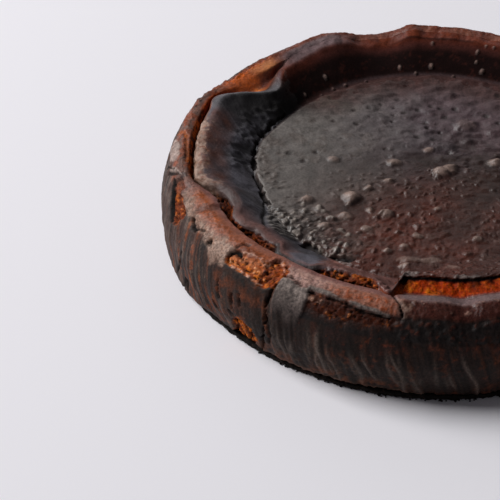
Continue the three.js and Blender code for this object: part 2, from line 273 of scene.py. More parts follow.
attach(loose_crumbs, "root")


# Cheesecake
# Baked custard that rose against its tin, scorched all over and sank in the middle as it cooled.
# It left a rolled lip, a split behind it, a collar that slopes in, and a flat blistered disc.
# It stands on the crumb base, to which it baked fast, and its foot sags over the base's edge.
COLUMNS = 1280
UNDERSIDE_RADIUS = 104.0
FOOT = (110.5, 3.2)  # radius and height
LOW = (113.5, 9.0)
BELLY = (115.0, 17.0)
UPPER_HEIGHT = 27.5
UPPER_OUT = 0.62  # how far it stands out from the shoulder towards the belly
SHOULDER = (106.3, 34.6)
LIP_HEIGHT = 38.6
LIP_IN = 0.62  # how far the crest lies in from the shoulder towards the mouth
MOUTH_RADIUS = 94.6  # the lip's inner edge, where the split opens
MOUTH_DROP = 0.5
COLLAR_HEIGHT = 37.6
COLLAR_EDGE_DROP = 0.9
COLLAR_ROLL = 3.4  # from the collar's outer edge to its crest
SLOPE_OUT = 0.42  # the slope's bend lies this far out from the seam and this far up from the disc
SLOPE_UP = 0.36
SEAM = (74.2, 28.2)
SEAM_WIDTH = 2.4
DISC_HEIGHT = 29.3
DISC_RINGS = (60.0, 45.0, 30.0, 15.0, 0.8)
DISC_SAG = 0.8
UNEVEN_ROUND = 0.4
WOBBLE_SEED = 7
SPLITS = (  # start, end, soft, width
    (158, 191, 8, 3.2), (192, 204, 5, 6.0), (204, 212, 4, 2.0), (212, 223, 4, 5.4), (222, 234, 5, 1.2),
    (234.5, 252.5, 5, 5.6), (252, 258, 3, 0.9), (324, 400, 12, 2.6))
SPLIT_OPEN = 1.0  # width from which it parts the lip and collar fully
SPLIT_STEEPNESS = 1.35
SPLIT_DEEPEST = 6.2
RIFT = (257.6, 316, 3.4, 30)  # start, end, soft, fade
RIFT_DEPTH = 6.6
RIFT_FLOOR_INSET = 5.0
LEDGE = (256.6, 316, 2.2, 30)
LEDGE_RADIUS = 79.4
LEDGE_BITE = (265.5, 5, 1.2)  # centre, width, how far its edge is eaten back
LEDGE_HEIGHT = 34.4
LEDGE_THICKNESS = 1.4
LEDGE_RUN = 11.0
LEDGE_FALL = ((0.45, 0.8), (0.7, 2.2), (1.0, 3.5))  # share of its run, and how much lower it lies there
LEFT_RIM = (151, 193, 14)
LEFT_WIDER = 8.6
LEFT_SHOULDER_WIDER = 3.6
LEFT_LIP_HIGHER = 0.6
LEFT_COLLAR_HIGHER = 2.4
LEFT_FOOT_RISE = 0.6  # share of the left foot's spread that is left at the next line up
FRONT_SHOULDER = (194, 228, 18, 1.7)
FRONT_MOUTH = (  # centre, width, how much wider
    (192, 6, 1.6), (206, 9, 2.2), (218, 7, 1.6), (256, 2.5, 1.8), (271, 13, -1.2))
FRONT_COLLAR = (214, 256, 10, 1.2)  # start, end, soft, how much lower
BACK_RIM = (52, 127, 18)
BACK_LOWER = 0.9
BACK_WIDER = 2.4
BACK_STEP = (50, 97, 6, 1.0)  # start, end, soft, how much lower
CREST = ((92.8, 4, 1.9), (101, 8.5, -3.9), (115.5, 6.5, 2.2), (273.5, 3.2, -1.7))  # centre, width, rise
CREST_AT_SHOULDER = 0.9
CREST_AT_UPPER = 0.4
BACK_SEAM = (60, 140, 34, 1.2)
LEFT_SEAM = (158, 182, 14, 2.2)
POCKET = (144, 8.5)
POCKET_END = 0.06  # where it dies out at its sides
POCKET_OPEN = 13.5
POCKET_WIDER = 3.5
POCKET_LIP_DROP = 1.6
POCKET_DEPTH = 2.6
POCKET_FILL = 0.9
POCKET_COLLAR_HIGHER = 0.9
# Lines run round the cake at these places of its profile, from the underside up and in to the middle:
# 0 underside's edge, 1 foot, 2 low, 3 belly, 4 upper, 5 shoulder, 6 lip's crest, 7 mouth, 8 split's floor,
# 9 collar's edge, 10 collar's crest, 11 its slope, 12 seam, 13 disc's edge, and 14 to 18 the disc's rings
FOOT_LINE = 1
COLLAR = 10
ROWS = (4, 11, 14, 18, 16, 14, 8, 12, 13, 7, 19, 15, 6, 20, 24, 24, 24, 23)  # from each line to the next
THINNED = {14: 2, 16: 4, 17: 8}  # past these lines a ring keeps one column in so many


def swell(angle, centre, width):
    """1 at an angle, dying out on both sides of it over about a width."""
    return np.exp(-(apart(angle, centre) / width) ** 2)


def mix(first, second, share):
    """The first value where share is 0, the second where it is 1."""
    return first + (second - first) * share


def slow_wave(angle, seed):
    """A slow in and out round the cake, of about -1 to 1."""
    turn = np.radians(angle)
    return sum(np.cos(count * (turn + seed)) for count in (2, 3, 5, 7, 11)) / 2.5


def profile_lines(angle):
    """Radius and height of every line at each angle."""
    left = stretch(angle, *LEFT_RIM)
    back = stretch(angle, *BACK_RIM)
    pocket = np.clip(swell(angle, *POCKET) - POCKET_END, 0, None) / (1 - POCKET_END)
    rift = stretch(angle, *RIFT)
    ledge = stretch(angle, *LEDGE)
    ledge_edge = LEDGE_RADIUS - sum_of(swell, angle, [LEDGE_BITE])
    crest = (sum_of(swell, angle, CREST) - BACK_LOWER * back
             - sum_of(stretch, angle, [BACK_STEP]))
    spread = sum_of(stretch, angle, [LEFT_FOOT])
    belly = BELLY[0] + UNEVEN_ROUND * slow_wave(angle, WOBBLE_SEED)
    shoulder = SHOULDER[0] + LEFT_SHOULDER_WIDER * left + sum_of(stretch, angle, [FRONT_SHOULDER])
    mouth = (MOUTH_RADIUS + LEFT_WIDER * left + BACK_WIDER * back + POCKET_WIDER * pocket
             + sum_of(swell, angle, FRONT_MOUTH))
    lip_height = (LIP_HEIGHT + LEFT_LIP_HIGHER * left + crest - POCKET_LIP_DROP * pocket
                  + UNEVEN_ROUND * slow_wave(angle, WOBBLE_SEED + 4))
    split = sum_of(stretch, angle, SPLITS) + POCKET_OPEN * pocket
    split_depth = MOUTH_DROP + np.minimum(SPLIT_STEEPNESS * split, SPLIT_DEEPEST)
    floor_depth = mix(mix(split_depth, POCKET_DEPTH, POCKET_FILL * np.sqrt(pocket)), RIFT_DEPTH, rift)
    collar_height = (COLLAR_HEIGHT + LEFT_COLLAR_HIGHER * left + crest + POCKET_COLLAR_HIGHER * pocket
                     - sum_of(stretch, angle, [FRONT_COLLAR]))
    collar = mouth - split - COLLAR_ROLL
    parted = np.minimum(split / SPLIT_OPEN, 1)
    collar_edge = mix(lip_height - MOUTH_DROP, collar_height - COLLAR_EDGE_DROP, parted)
    seam = SEAM[0] + sum_of(stretch, angle, [LEFT_SEAM]) - sum_of(stretch, angle, [BACK_SEAM])
    lines = [
        (UNDERSIDE_RADIUS, BASE_HEIGHT),
        (FOOT[0] + spread, FOOT[1]),
        (LOW[0] + LEFT_FOOT_RISE * spread, LOW[1]),
        (belly, BELLY[1]),
        (mix(shoulder, belly, UPPER_OUT), UPPER_HEIGHT + CREST_AT_UPPER * crest),
        (shoulder, SHOULDER[1] + CREST_AT_SHOULDER * crest),
        (mix(shoulder, mouth, LIP_IN), lip_height),
        (mouth, lip_height - MOUTH_DROP),
        (mouth - mix(split / 2, RIFT_FLOOR_INSET, rift), lip_height - floor_depth),
        (mix(mouth - split, ledge_edge, ledge), mix(collar_edge, LEDGE_HEIGHT - LEDGE_THICKNESS, ledge)),
        (mix(collar, ledge_edge - LEDGE_THICKNESS, ledge), mix(collar_height, LEDGE_HEIGHT, ledge)),
    ]
    inner = (
        (mix(seam, collar, SLOPE_OUT), mix(DISC_HEIGHT, collar_height, SLOPE_UP)),
        (seam, SEAM[1]),
        (seam - SEAM_WIDTH, DISC_HEIGHT),
    )
    for (radius, height), (share, drop) in zip(inner, LEDGE_FALL):
        lines.append((mix(radius, LEDGE_RADIUS - share * LEDGE_RUN, ledge),
                      mix(height, LEDGE_HEIGHT - drop, ledge)))
    lines += [(ring, DISC_HEIGHT - DISC_SAG * (1 - (ring / SEAM[0]) ** 2)) for ring in DISC_RINGS]
    return np.array([[radius + 0 * angle, height + 0 * angle] for radius, height in lines])


def smooth_rings(lines):
    """Rings on a smooth curve through the lines that never swings past them, and where each lies."""
    before = lines[1:-1] - lines[:-2]
    after = lines[2:] - lines[1:-1]
    slopes = np.zeros_like(lines)
    alike = before * after > 0
    slopes[1:-1][alike] = (2 * before * after)[alike] / (before + after)[alike]
    rings = [lines[0]]
    places = [0.0]
    for gap, steps in enumerate(ROWS):
        for step in range(1, steps + 1):
            t = step / steps
            ahead = t * t * (3 - 2 * t)
            bend = t * (1 - t) * ((1 - t) * slopes[gap] - t * slopes[gap + 1])
            rings.append((1 - ahead) * lines[gap] + ahead * lines[gap + 1] + bend)
            places.append(gap + t)
    return rings, places


columns = np.arange(COLUMNS) * 360 / COLUMNS
lines = profile_lines(columns)
line_gaps = np.hypot(np.diff(lines[:, 0], axis=0), np.diff(lines[:, 1], axis=0)).mean(axis=1)
line_runs = np.concatenate([[0], np.cumsum(line_gaps)])  # how far up the skin each line lies, on average
angle, line, radius, height, counts = [], [], [], [], []
for ring, where in zip(*smooth_rings(lines)):
    keep = max([1] + [every for start, every in THINNED.items() if where > start])
    angle.append(columns[::keep])
    line.append(np.full(COLUMNS // keep, where))
    radius.append(ring[0][::keep])
    height.append(ring[1][::keep])
    counts.append(COLUMNS // keep)
# Angle, line, radius and height of the two points that close the skin
caps = ((0.0, 0, 0.0, BASE_HEIGHT), (0.0, len(ROWS), 0.0, DISC_HEIGHT - DISC_SAG))
angle, line, radius, height = (
    np.concatenate([*parts, [cap[i] for cap in caps]])
    for i, parts in enumerate((angle, line, radius, height)))
skin = polar(angle, radius, height)
cheesecake = new_piece("baked_cheesecake", skin, ring_faces(counts))
outward = normals_of(cheesecake)
relief = np.zeros(len(skin))
torn = np.zeros(len(skin))  # 1 where the skin is torn off
SKIN_BROWN = "#35211b"
SATIN = 0.42
tints = np.tile(paint(SKIN_BROWN), (len(skin), 1))
dull = np.full(len(skin), SATIN)


def tint(code, share, roughness=None):
    """Lays a colour, and a roughness if there is one, over the skin as far as share says."""
    share = np.clip(share, 0, 1)
    tints[:] = mix(tints, np.array(paint(code)), share[:, None])
    if roughness is not None:
        dull[:] = mix(dull, roughness, share)


def tint_all(where, rows):
    """Lays several colours over one place, each with its share there and a roughness if it has one."""
    for code, share, *roughness in rows:
        tint(code, where * share, *roughness)


# Unevenness of several sizes that all parts of the skin share
ragged = uneven(skin, 3.4, 3)
fine = uneven(skin, 1.5, 2, 5.0)
cloud = uneven(skin, 16.0, 2, 9.0)
blotch = uneven(skin, 6.0, 3, 13.0)
coarse = uneven(skin, 2.4, 3, 25.0)
PATCH_REACH = 6.0  # mm past its corners that a soft, ragged edge can reach


def laid_flat(path):
    """Points near a path of (angle, line) places, and both in mm round and up the skin."""
    path = np.array(path, float)
    middle = path[:, 0].mean()
    corner_x = np.radians(path[:, 0] - middle) * SHOULDER[0]
    corner_y = np.interp(path[:, 1], range(len(line_runs)), line_runs)
    x = np.radians(apart(angle, middle)) * SHOULDER[0]
    y = np.interp(line, range(len(line_runs)), line_runs)
    near = np.flatnonzero(
        (x > corner_x.min() - PATCH_REACH) & (x < corner_x.max() + PATCH_REACH)
        & (y > corner_y.min() - PATCH_REACH) & (y < corner_y.max() + PATCH_REACH))
    return near, x[near], y[near], corner_x, corner_y


def from_edge(x, y, start, end):
    """How far points are from a straight edge."""
    run = np.subtract(end, start)
    along = np.clip(((x - start[0]) * run[0] + (y - start[1]) * run[1]) / (run @ run), 0, 1)
    return np.hypot(x - start[0] - along * run[0], y - start[1] - along * run[1])


def patch(outline, edge=1.0, rag=1.0):
    """How far inside an outline of (angle, line) corners each point is, 0 to 1.

    The edge is as soft and as ragged as the two sizes in mm say."""
    near, x, y, corner_x, corner_y = laid_flat(outline)
    corners = list(zip(corner_x, corner_y))
    inside = np.zeros(len(near), bool)
    depth = np.full(len(near), np.inf)
    for start, end in zip(corners, corners[1:] + corners[:1]):
        depth = np.minimum(depth, from_edge(x, y, start, end))
        crossed = (start[1] > y) != (end[1] > y)
        slant = (end[0] - start[0]) / (end[1] - start[1] or 1.0)
        inside ^= crossed & (x < start[0] + slant * (y - start[1]))
    share = np.zeros(len(skin))
    share[near] = ramp(np.where(inside, depth, -depth) + rag * ragged[near], -edge / 2, edge / 2)
    return share


def stroke(path, width, rag=0.5):
    """How close each point is to a path of (angle, line) places, 1 on it and 0 half a width away."""
    near, x, y, corner_x, corner_y = laid_flat(path)
    corners = list(zip(corner_x, corner_y))
    away = np.min([from_edge(x, y, start, end) for start, end in zip(corners, corners[1:])], axis=0)
    share = np.zeros(len(skin))
    share[near] = 1 - ramp(away + rag * ragged[near], 0.2 * width, 0.6 * width)
    return share


def band(low, high, soft=0.3):
    """1 between two lines, and 0 outside them."""
    return ramp(line, low - soft / 2, low + soft / 2) * (1 - ramp(line, high - soft / 2, high + soft / 2))


def zone(start, end, low, high, soft=6, fade=0.4):
    """1 on the skin between two angles and between two lines, and 0 outside it."""
    return stretch(angle, start, end, soft) * band(low, high, fade)


# Side: skin that the paper creased as it baked, greyer at the left, with rust and black streaks
SIDE_DARK = "#281a15"
SIDE_BROWN = "#392721"
SIDE_GREY = "#4f4642"
SIDE_FRONT = "#1f1410"
SIDE_BURNT = "#160e0b"
STREAK_PALE = "#6a564b"
STREAK_DUSTY = "#5b4636"
STREAK_BLACK = "#150d0a"
RUST = "#5c2d14"
RUST_BRIGHT = "#8f4413"
RUST_FLECK = "#6e3316"
STREAK_LEAN = (  # at these angles a streak turns by so many degrees in each mm of height
    (150, 195, 215, 231, 245, 262, 300, 360), (0.1, 0.16, 0.24, 0.13, 0.13, 0.17, 0.1, 0.1))
on_side = band(0.8, 5.0, 0.4)
lean = np.interp(angle, *STREAK_LEAN)


def streaks(size, along, shift=0.0, octaves=2):
    """Unevenness drawn out up the side, size mm wide and so many times longer."""
    return uneven(polar(angle + lean * (height - BELLY[1]), BELLY[0], height / along), size, octaves, shift)


to_left = stretch(angle, 118, 229, 14)
to_front = stretch(angle, 229, 264, 10)
broad_streak = streaks(4.6, 7.0, 4.0)
thin_streak = streaks(1.4, 14.0, 7.0)
rust_streak = streaks(2.8, 8.0, 11.0, 3)
low_half = 1 - ramp(height, 12, 24)
combed = 1 - 0.7 * stretch(angle, 213, 230, 5) * ramp(height, 12, 20)  # fewer streaks under the bared crumb
calm = 1 - 0.75 * ramp(height, 18, 27) * stretch(angle, 236, 330, 10)  # smoother high up in front
furrows = 0.5 * broad_streak + 0.4 * combed * thin_streak + 0.2 * fine
rusty = combed * (0.15 - 0.1 * to_front + stretch(angle, 190, 231, 8) * (0.25 + 0.5 * low_half))
relief += on_side * (1 - 0.5 * to_left) * calm * furrows
tint(SIDE_DARK, on_side, 0.6)
tint_all(on_side, (
    (SIDE_BROWN, to_left * 0.95),
    (SIDE_GREY, to_left * (1 - low_half) * ramp(blotch + 0.6 * broad_streak, -0.3, 0.5) * 0.7),
    (SIDE_FRONT, to_front * 0.95),
    (SIDE_BURNT, stretch(angle, 209, 238, 12) * (0.6 + 0.6 * blotch)),
    (STREAK_PALE, to_left * ramp(thin_streak + 0.5 * blotch, 0.0, 0.6) * 0.5 * combed),
    (STREAK_DUSTY, to_front * low_half * ramp(broad_streak + fine, 0.0, 0.7) * 0.4),
    (STREAK_BLACK, ramp(broad_streak - 0.6 * thin_streak, 0.05, 0.5) * 0.75),
    (RUST, ramp(rust_streak + 0.3 * thin_streak + 0.3 * ragged, 0.05, 0.4) * rusty),
    (RUST_BRIGHT, ramp(rust_streak + 0.4 * thin_streak + 0.4 * ragged, 0.45, 0.8) * rusty),
    (RUST_FLECK, stretch(angle, 246, 300, 12) * ramp(ragged + 0.7 * fine + 0.5 * cloud, 0.3, 0.9) * 0.3),
))

# Creases that the paper pressed into the side: thin wavy ridges up from the foot, closest in front. Their
# ridges are tinted paler, partly as dust and partly as painted highlight
FRONT_CREASES = 26
OTHER_CREASES = 64
CREASE_RISE = 0.8
CREASE_DUST_AND_HIGHLIGHT = "#665850"
chance = np.random.default_rng(11)
side_points = np.flatnonzero(on_side > 0.01)
side_height = height[side_points]
side_angle = angle[side_points] + lean[side_points] * (side_height - BELLY[1])
crease = np.zeros(len(skin))
for number in range(FRONT_CREASES + OTHER_CREASES):
    middle = chance.uniform(231, 272) if number < FRONT_CREASES else chance.uniform(272, 586)
    foot, top = chance.uniform(1, 9), chance.uniform(13, 30)
    wave = chance.uniform(0.2, 0.7) * np.sin(side_height / chance.uniform(2.5, 5) + chance.uniform(0, 6))
    past = np.radians(apart(side_angle, middle + wave)) * BELLY[0]
    ridge = np.exp(-(past / chance.uniform(0.6, 1.2)) ** 2) * chance.uniform(0.35, 1)
    ridge *= ramp(side_height, foot, foot + 5) * (1 - ramp(side_height, top - 8, top))
    crease[side_points] = np.maximum(crease[side_points], ridge)
relief += CREASE_RISE * on_side * crease
tint(CREASE_DUST_AND_HIGHLIGHT, on_side * crease * (0.65 - 0.35 * to_left))

# Rust marks on the side: width in mm, then the path
RUST_MARK = "#7c3a17"
RUST_MARKS = (
    (2.2, ((200.8, 3.5), (201.6, 3.0), (202.8, 2.4))), (1.8, ((204.4, 2.7), (205.3, 2.1), (206.8, 1.5))),
    (2.0, ((206.0, 4.0), (207.3, 3.6), (208.0, 3.3))), (1.8, ((215.6, 3.9), (216.6, 3.55), (218.9, 3.3))),
    (2.0, ((216.2, 2.8), (217.4, 2.65), (218.8, 2.4))), (1.8, ((221.2, 3.6), (222, 3.45), (223.4, 3.1))),
    (3.4, ((214.0, 1.9), (217, 1.7), (220.5, 1.9))), (1.6, ((209.6, 2.2), (211, 1.7), (212.6, 1.3))))
for width, path in RUST_MARKS:
    tint(RUST_MARK, stroke(path, width, 1.2) * ramp(fine + thin_streak, -0.5, 0.5) * 0.6)

# Scorched places of the side: red and black under the lip, brown low in front, and black at the foot
SCORCHED_RED = "#552913"
SCORCHED_BLACK = "#17100d"
TOP_BROWN = "#2a1511"
TOP_RUST = "#642a16"
LOW_BROWN = "#6a3a22"
LOW_DUST = "#6b5145"
FOOT_BLACK = "#0d0807"
reddened = patch(
    ((214, 4.3), (222, 4.45), (229.8, 4.5), (229.2, 3.9), (226, 3.6), (221, 3.5), (216, 3.8)), 5, 3)
tint(SCORCHED_RED, reddened * (0.5 + 0.8 * ragged + 0.6 * blotch))
tint(SCORCHED_BLACK, zone(213, 231, 4.15, 4.75, 3, 0.6) * (0.5 + 0.9 * blotch + 0.4 * ragged))
tint_all(zone(238, 330, 3.7, 5.2, 8, 0.9), (
    (TOP_BROWN, ramp(blotch + 0.6 * ragged, -0.3, 0.4) * 0.7),
    (TOP_RUST, ramp(fine + 0.5 * ragged + 0.4 * cloud, 0.45, 0.9) * 0.6),
))
tint_all(to_front, (
    (LOW_BROWN, band(0.9, 2.0, 0.6) * ramp(blotch + 0.4 * ragged, -0.2, 0.4) * 0.6),
    (LOW_DUST, band(0.9, 1.4, 0.4) * (0.5 + 0.7 * ragged)),
))
not_underside = line > FOOT_LINE - 0.5
tint(FOOT_BLACK, (1 - ramp(height - 1.8 * ragged, 1.9, 2.7)) * not_underside * 0.9)

# Lip: skin stretched over the rolled edge, pink-brown on its crest and grainy on its outer slope
LIP_BROWN = "#4a2a21"
LIP_MAUVE_SHEEN = "#774b43"
LIP_LILAC_SHEEN = "#66504f"
LIP_PINK_SHEEN = "#8d6b64"
LIP_TOFFEE = "#84421f"
LIP_CREAM = "#b08a7c"
LIP_RUST = "#86482c"
LIP_TAN = "#8a5138"
LIP_ORANGE = "#8a3d15"
LIP_DARK = "#3d1c16"
LIP_FLECK = "#8c6a5e"
UNDER_LIP = "#171110"
UNDER_LIP_RED = "#4a2216"
LIP_SHADE = "#5f2c14"
GLOSSY = 0.34
lip_slope = band(5.25, 6.3, 0.3)
lip_crest = band(6.0, 8.3, 0.5)
lit_lip = stretch(angle, 186, 258.5, 3)
right_lip = stretch(angle, 258.5, 340, 2, 30)
grainy_end = stretch(angle, 243, 258.5, 8)
hairs = uneven(skin * (1.0, 1.0, 0.3), 1.6, 2, 23.0)
relief += lip_slope * (0.25 * fine + 0.2 * blotch)
relief += band(5.2, 6.1) * (0.15 * grainy_end + 0.3 * right_lip) * coarse
relief += lip_crest * (0.35 * uneven(skin, 7.0, 2, 21.0) + 0.12 * hairs)
relief += 0.4 * right_lip * band(5.2, 6.2, 0.12)
tint(LIP_BROWN, (lip_slope + lip_crest) * (0.9 + 0.3 * blotch), 0.5)
# The mauve and lilac on the crest and the pink on the lit slope are partly the skin's colour and partly
# painted sheen
tint(LIP_MAUVE_SHEEN, lip_crest * lit_lip * 0.95, GLOSSY)
tint(LIP_LILAC_SHEEN, lip_crest * right_lip * 0.95, GLOSSY)
tint(LIP_PINK_SHEEN, lip_slope * lit_lip * 0.85, 0.45)
tint(LIP_TOFFEE, zone(194, 227, 5.3, 6.35, 5, 0.7) * (0.95 + 0.3 * blotch), 0.38)
tint(LIP_CREAM, zone(230, 249, 5.5, 6.4, 8) * (0.45 + 0.5 * fine + 0.3 * hairs), 0.5)
tint(LIP_RUST, zone(206, 229, 5.9, 7.2, 8, 0.6) * 0.6)
tint(LIP_TAN, grainy_end * lip_slope * 0.75, 0.5)
tint(LIP_ORANGE, grainy_end * band(5.2, 6.2, 0.4) * ramp(fine + 0.3 * ragged, -0.1, 0.4) * 0.8, 0.55)
tint(LIP_DARK, right_lip * band(5.2, 5.95, 0.2) * (0.95 + 0.4 * coarse), 0.42)
tint(LIP_FLECK, right_lip * band(5.5, 6.4, 0.3) * ramp(fine + 0.6 * coarse, 0.5, 0.8) * 0.8)
tint(UNDER_LIP, zone(236, 330, 4.1, 5.2, 8, 0.12) * (0.9 + 0.4 * blotch), 0.55)
rough_top = zone(257, 330, 3.9, 5.2, 4, 0.5)
relief += rough_top * (0.5 * ragged + 0.3 * coarse)
tint(UNDER_LIP_RED, rough_top * ramp(ragged + 0.6 * fine, 0.15, 0.6) * 0.6)
shaded = patch(((217.2, 5.5), (218.6, 5.95), (221.5, 6.05), (223.5, 5.8), (221.5, 5.5), (219, 5.4)), 2.0, 0.8)
tint(LIP_SHADE, shaded * 0.75)

# Frosted places, where the skin dried pale and dusty: strength, then outline
FROST_PALE = "#a08678"
FROST_PINK = "#80604f"
FROST_SPECK = "#4a352c"
FROSTED = (
    (0.95, ((192.5, 5.1), (193.9, 5.5), (197.9, 5.42), (201.2, 5.28), (206.1, 5.36), (210.5, 5.38),
            (214.8, 5.55), (216.7, 5.5), (217, 4.94), (216.4, 4.5), (213.4, 4.2), (210.8, 4.6), (208, 4.9),
            (203.8, 4.92), (199.4, 4.76), (197.5, 4.8), (194, 4.95))),
    (0.8, ((258.2, 6.1), (259.8, 6.0), (261.0, 5.6), (260.3, 5.25), (259.6, 5.2), (258.9, 5.6))),
    (0.95, ((166, 8.2), (169, 9.5), (172, 10.0), (178, 9.95), (186, 9.9), (191.5, 9.9), (192.5, 9.2),
            (192, 8.2), (178, 7.6), (168, 7.3))),
    (0.6, ((336, 5.0), (341, 5.9), (350, 5.8), (353, 5.1), (345, 4.8))),
    (0.7, ((36, 4.9), (40, 5.8), (50, 5.7), (52, 5.0), (44, 4.7))),
)
for strength, outline in FROSTED:
    inside = patch(outline, 3.0, 1.6) * (0.85 + 0.5 * blotch)
    tint(FROST_PINK, inside * strength * 0.9, 0.6)
    tint(FROST_PALE, inside * strength * ramp(fine + 0.7 * ragged + 0.4 * cloud, -0.4, 0.35), 0.7)
    tint(FROST_SPECK, inside * strength * ramp(fine, 0.25, 0.5) * 0.5)
    relief += inside * (0.06 * fine + 0.08 * coarse)

# Bared crumb, where skin peeled or tore off the custard: depth, brightness, share of holes, edge, outline
CRUMB_PAINTED_GLINT = "#d8a078"
CRUMB_TAN = "#ab683f"
CRUMB_BRIGHT = "#c4661b"
CRUMB_ORANGE = "#86380c"
CRUMB_DEEP = "#3d1609"
CRUMB_HOLE = "#130503"
CRUMB_DRIED = "#94604a"
CRUMB_SIZE = 1.4
FOOT_TEAR = (
    (222.3, 2.5), (223.5, 2.8), (228, 2.65), (228.8, 2.2), (228, 1.5), (226.5, 0.8), (220.5, 0.8), (222, 1.8))
BARED = (
    (1.4, 0.5, 0.3, 0.9, ((187.1, 5.08), (189.6, 5.7), (192, 5.45), (192.4, 5.1), (194.8, 4.86), (198, 4.7),
                          (198.6, 4.36), (195.9, 3.7), (194.6, 3.68), (187.2, 4.96))),
    (0.7, 1.0, 0.6, 0.9, ((216.8, 4.78), (216.7, 5.14), (218.3, 5.34), (221, 5.5), (223.5, 5.55),
                          (226.4, 5.62), (226.8, 5.1), (226.9, 4.68), (224.6, 4.74), (221.5, 4.8),
                          (218.8, 4.68))),
    (1.3, 0.7, 0.5, 0.9, ((226.4, 5.55), (226.7, 6.15), (228.4, 6.4), (230.8, 6.25), (232.2, 5.8),
                          (231.4, 5.4), (229.9, 4.78), (226.9, 4.66), (226.5, 5.1))),
    (0.8, 0.75, 0.5, 0.9, FOOT_TEAR),
    (0.3, 0.1, 0.4, 7.0, ((238, 5.4), (245, 5.35), (251, 5.2), (256.8, 5.15), (258.9, 4.96), (257, 4.7),
                          (246, 4.5), (238, 4.6), (237.3, 4.9))),
    (0.3, 0.45, 1.0, 0.9, ((235, 8.9), (238, 9.4), (241, 9.8), (248, 10.0), (251, 9.9), (252.3, 9.4),
                           (252, 7.8), (236, 7.6))),
    (0.3, 0.35, 1.0, 0.9, ((193, 8.5), (198, 8.6), (203, 8.9), (205.5, 9.3), (210, 9.3), (212, 8.9),
                           (216, 9.2), (222, 9.1), (223.5, 8.4), (222, 7.2), (194, 7.1))),
    (1.3, 0.8, 0.4, 0.9, ((20, 4.9), (27, 5.3), (33, 4.9), (31, 4.1), (24, 3.8))),
    (0.8, 0.8, 0.5, 0.9, ((59, 2.5), (65, 2.4), (66, 1.2), (60, 1.0))),
    (1.0, 0.8, 0.7, 0.9, ((305, 5.2), (311, 5.8), (318, 5.5), (316, 4.9), (308, 4.7))),
)
for depth, bright, holed, edge, outline in BARED:
    inside = patch(outline, edge, 1.1)
    here = np.flatnonzero(inside > 0)
    holes = np.zeros(len(skin))
    sponge = uneven(skin[here], CRUMB_SIZE, 3, outline[0][0]) + 0.5 * holed
    holes[here] = inside[here] * ramp(sponge, 0.55, 0.8)
    rare = 0.5 * (1 - bright)  # the duller the crumb, the fewer bright grains it has
    dried = inside * ramp(bright, 0.8, 0.9)  # only the brightest dried at the surface
    relief -= inside * (depth - (0.3 * fine + 0.4 * coarse) * (1 - 0.5 * dried)) + 0.7 * holes
    tint(CRUMB_DEEP, inside * (0.5 + 0.5 * bright), 0.6)
    tint(CRUMB_HOLE, inside * (1 - bright) ** 2 * 0.7)
    tint(CRUMB_ORANGE, inside * bright * (0.9 + 0.7 * blotch))
    tint(CRUMB_TAN, dried * ramp(blotch + 0.5 * ragged, -0.3, 0.4) * 0.6)
    tint(CRUMB_BRIGHT, inside * ramp(fine + 0.6 * ragged, rare - 0.1, rare + 0.4) * (0.3 + 0.7 * bright))
    # Pale grains on the crumb's raised bumps: painted highlight on the moist crumb
    tint(CRUMB_PAINTED_GLINT, inside * ramp(fine + 0.5 * coarse, rare + 0.4, rare + 0.8) * (0.3 + 0.5 * bright))
    tint(CRUMB_DRIED, dried * ramp(line - 0.04 * (angle - 222) + 0.3 * ragged, 5.15, 5.45) * 0.5, 0.5)
    # The holes are blackened: painted shade in the pores
    tint(CRUMB_HOLE, holes * 0.95, 0.85)
    torn = np.maximum(torn, inside)

# The tear at the foot pulled the crumb into folds that lie up and down, darkened in their hollows as painted
# shade
TEAR_ORANGE = "#c4650e"
TEAR_FOLD_SHADE = "#220b04"
foot_tear = patch(FOOT_TEAR, 1.5, 1.1)
tear_folds = foot_tear * ramp(thin_streak + 0.6 * fine, 0.0, 0.4)
relief -= 0.8 * tear_folds
tint(TEAR_ORANGE, foot_tear * ramp(0.5 * coarse - thin_streak, 0.05, 0.4) * 0.8)
tint(TEAR_FOLD_SHADE, tear_folds * 0.85)

# Pale ridges, where the edge of a tear dried: width, rise, then the path
RIDGE_PINK = "#c0937e"
RIDGES = (
    (1.5, 0.4, ((219, 5.5), (221.9, 5.8), (224.5, 5.7), (226.4, 5.6), (226.6, 6.2))),
    (1.2, 0.3, ((218.8, 4.72), (221.5, 4.82), (224.6, 4.76), (227.5, 4.68))),
    (1.2, 0.2, ((227.5, 6.4), (229.5, 6.15), (231, 5.6))),
    (1.8, 0.4, ((238.4, 5.0), (240, 5.06), (241.6, 5.1))),
)
for width, rise, path in RIDGES:
    inside = stroke(path, width, 0.6)
    relief += rise * inside
    tint(RIDGE_PINK, inside * ramp(fine + 0.5 * ragged, -0.4, 0.3) * 0.85, 0.5)

# Rift, pocket and left split: moist custard torn open, orange and nearly smooth
RIFT_ORANGE = "#902c02"
RIFT_BRIGHT = "#c05c0c"
RIFT_BROWN = "#6a2102"
RIFT_LIT = "#d0700f"
RIFT_SHADE = "#2e0a02"
RIFT_DEEP_SHADE = "#080201"
POCKET_ORANGE = "#a54a10"
POCKET_SHADE = "#4a1502"
POCKET_EDGE = "#3d1a0c"
SPLIT_ORANGE = "#a04e1a"
rift_open = stretch(angle, 256.4, 322, 2, 24) * band(8.3, 9.75, 0.15)
pocket_open = band(5.3, 8.4, 0.6) * ramp(apart(angle, POCKET[0] + 2.2 * blotch), -15, -10)
pocket_open *= 1 - ramp(apart(angle, POCKET[0]), 8, 14)
left_open = zone(153, 193, 6.7, 8.5, 6, 0.5)
relief += (rift_open + 0.5 * left_open) * 0.6 * coarse
tint(RIFT_ORANGE, rift_open, 0.6)
tint(RIFT_BRIGHT, rift_open * ramp(fine + coarse + 0.5 * blotch, 0.0, 0.7) * 0.5)
tint(RIFT_BROWN, rift_open * ramp(blotch + 0.6 * cloud, 0.05, 0.5) * 0.6)
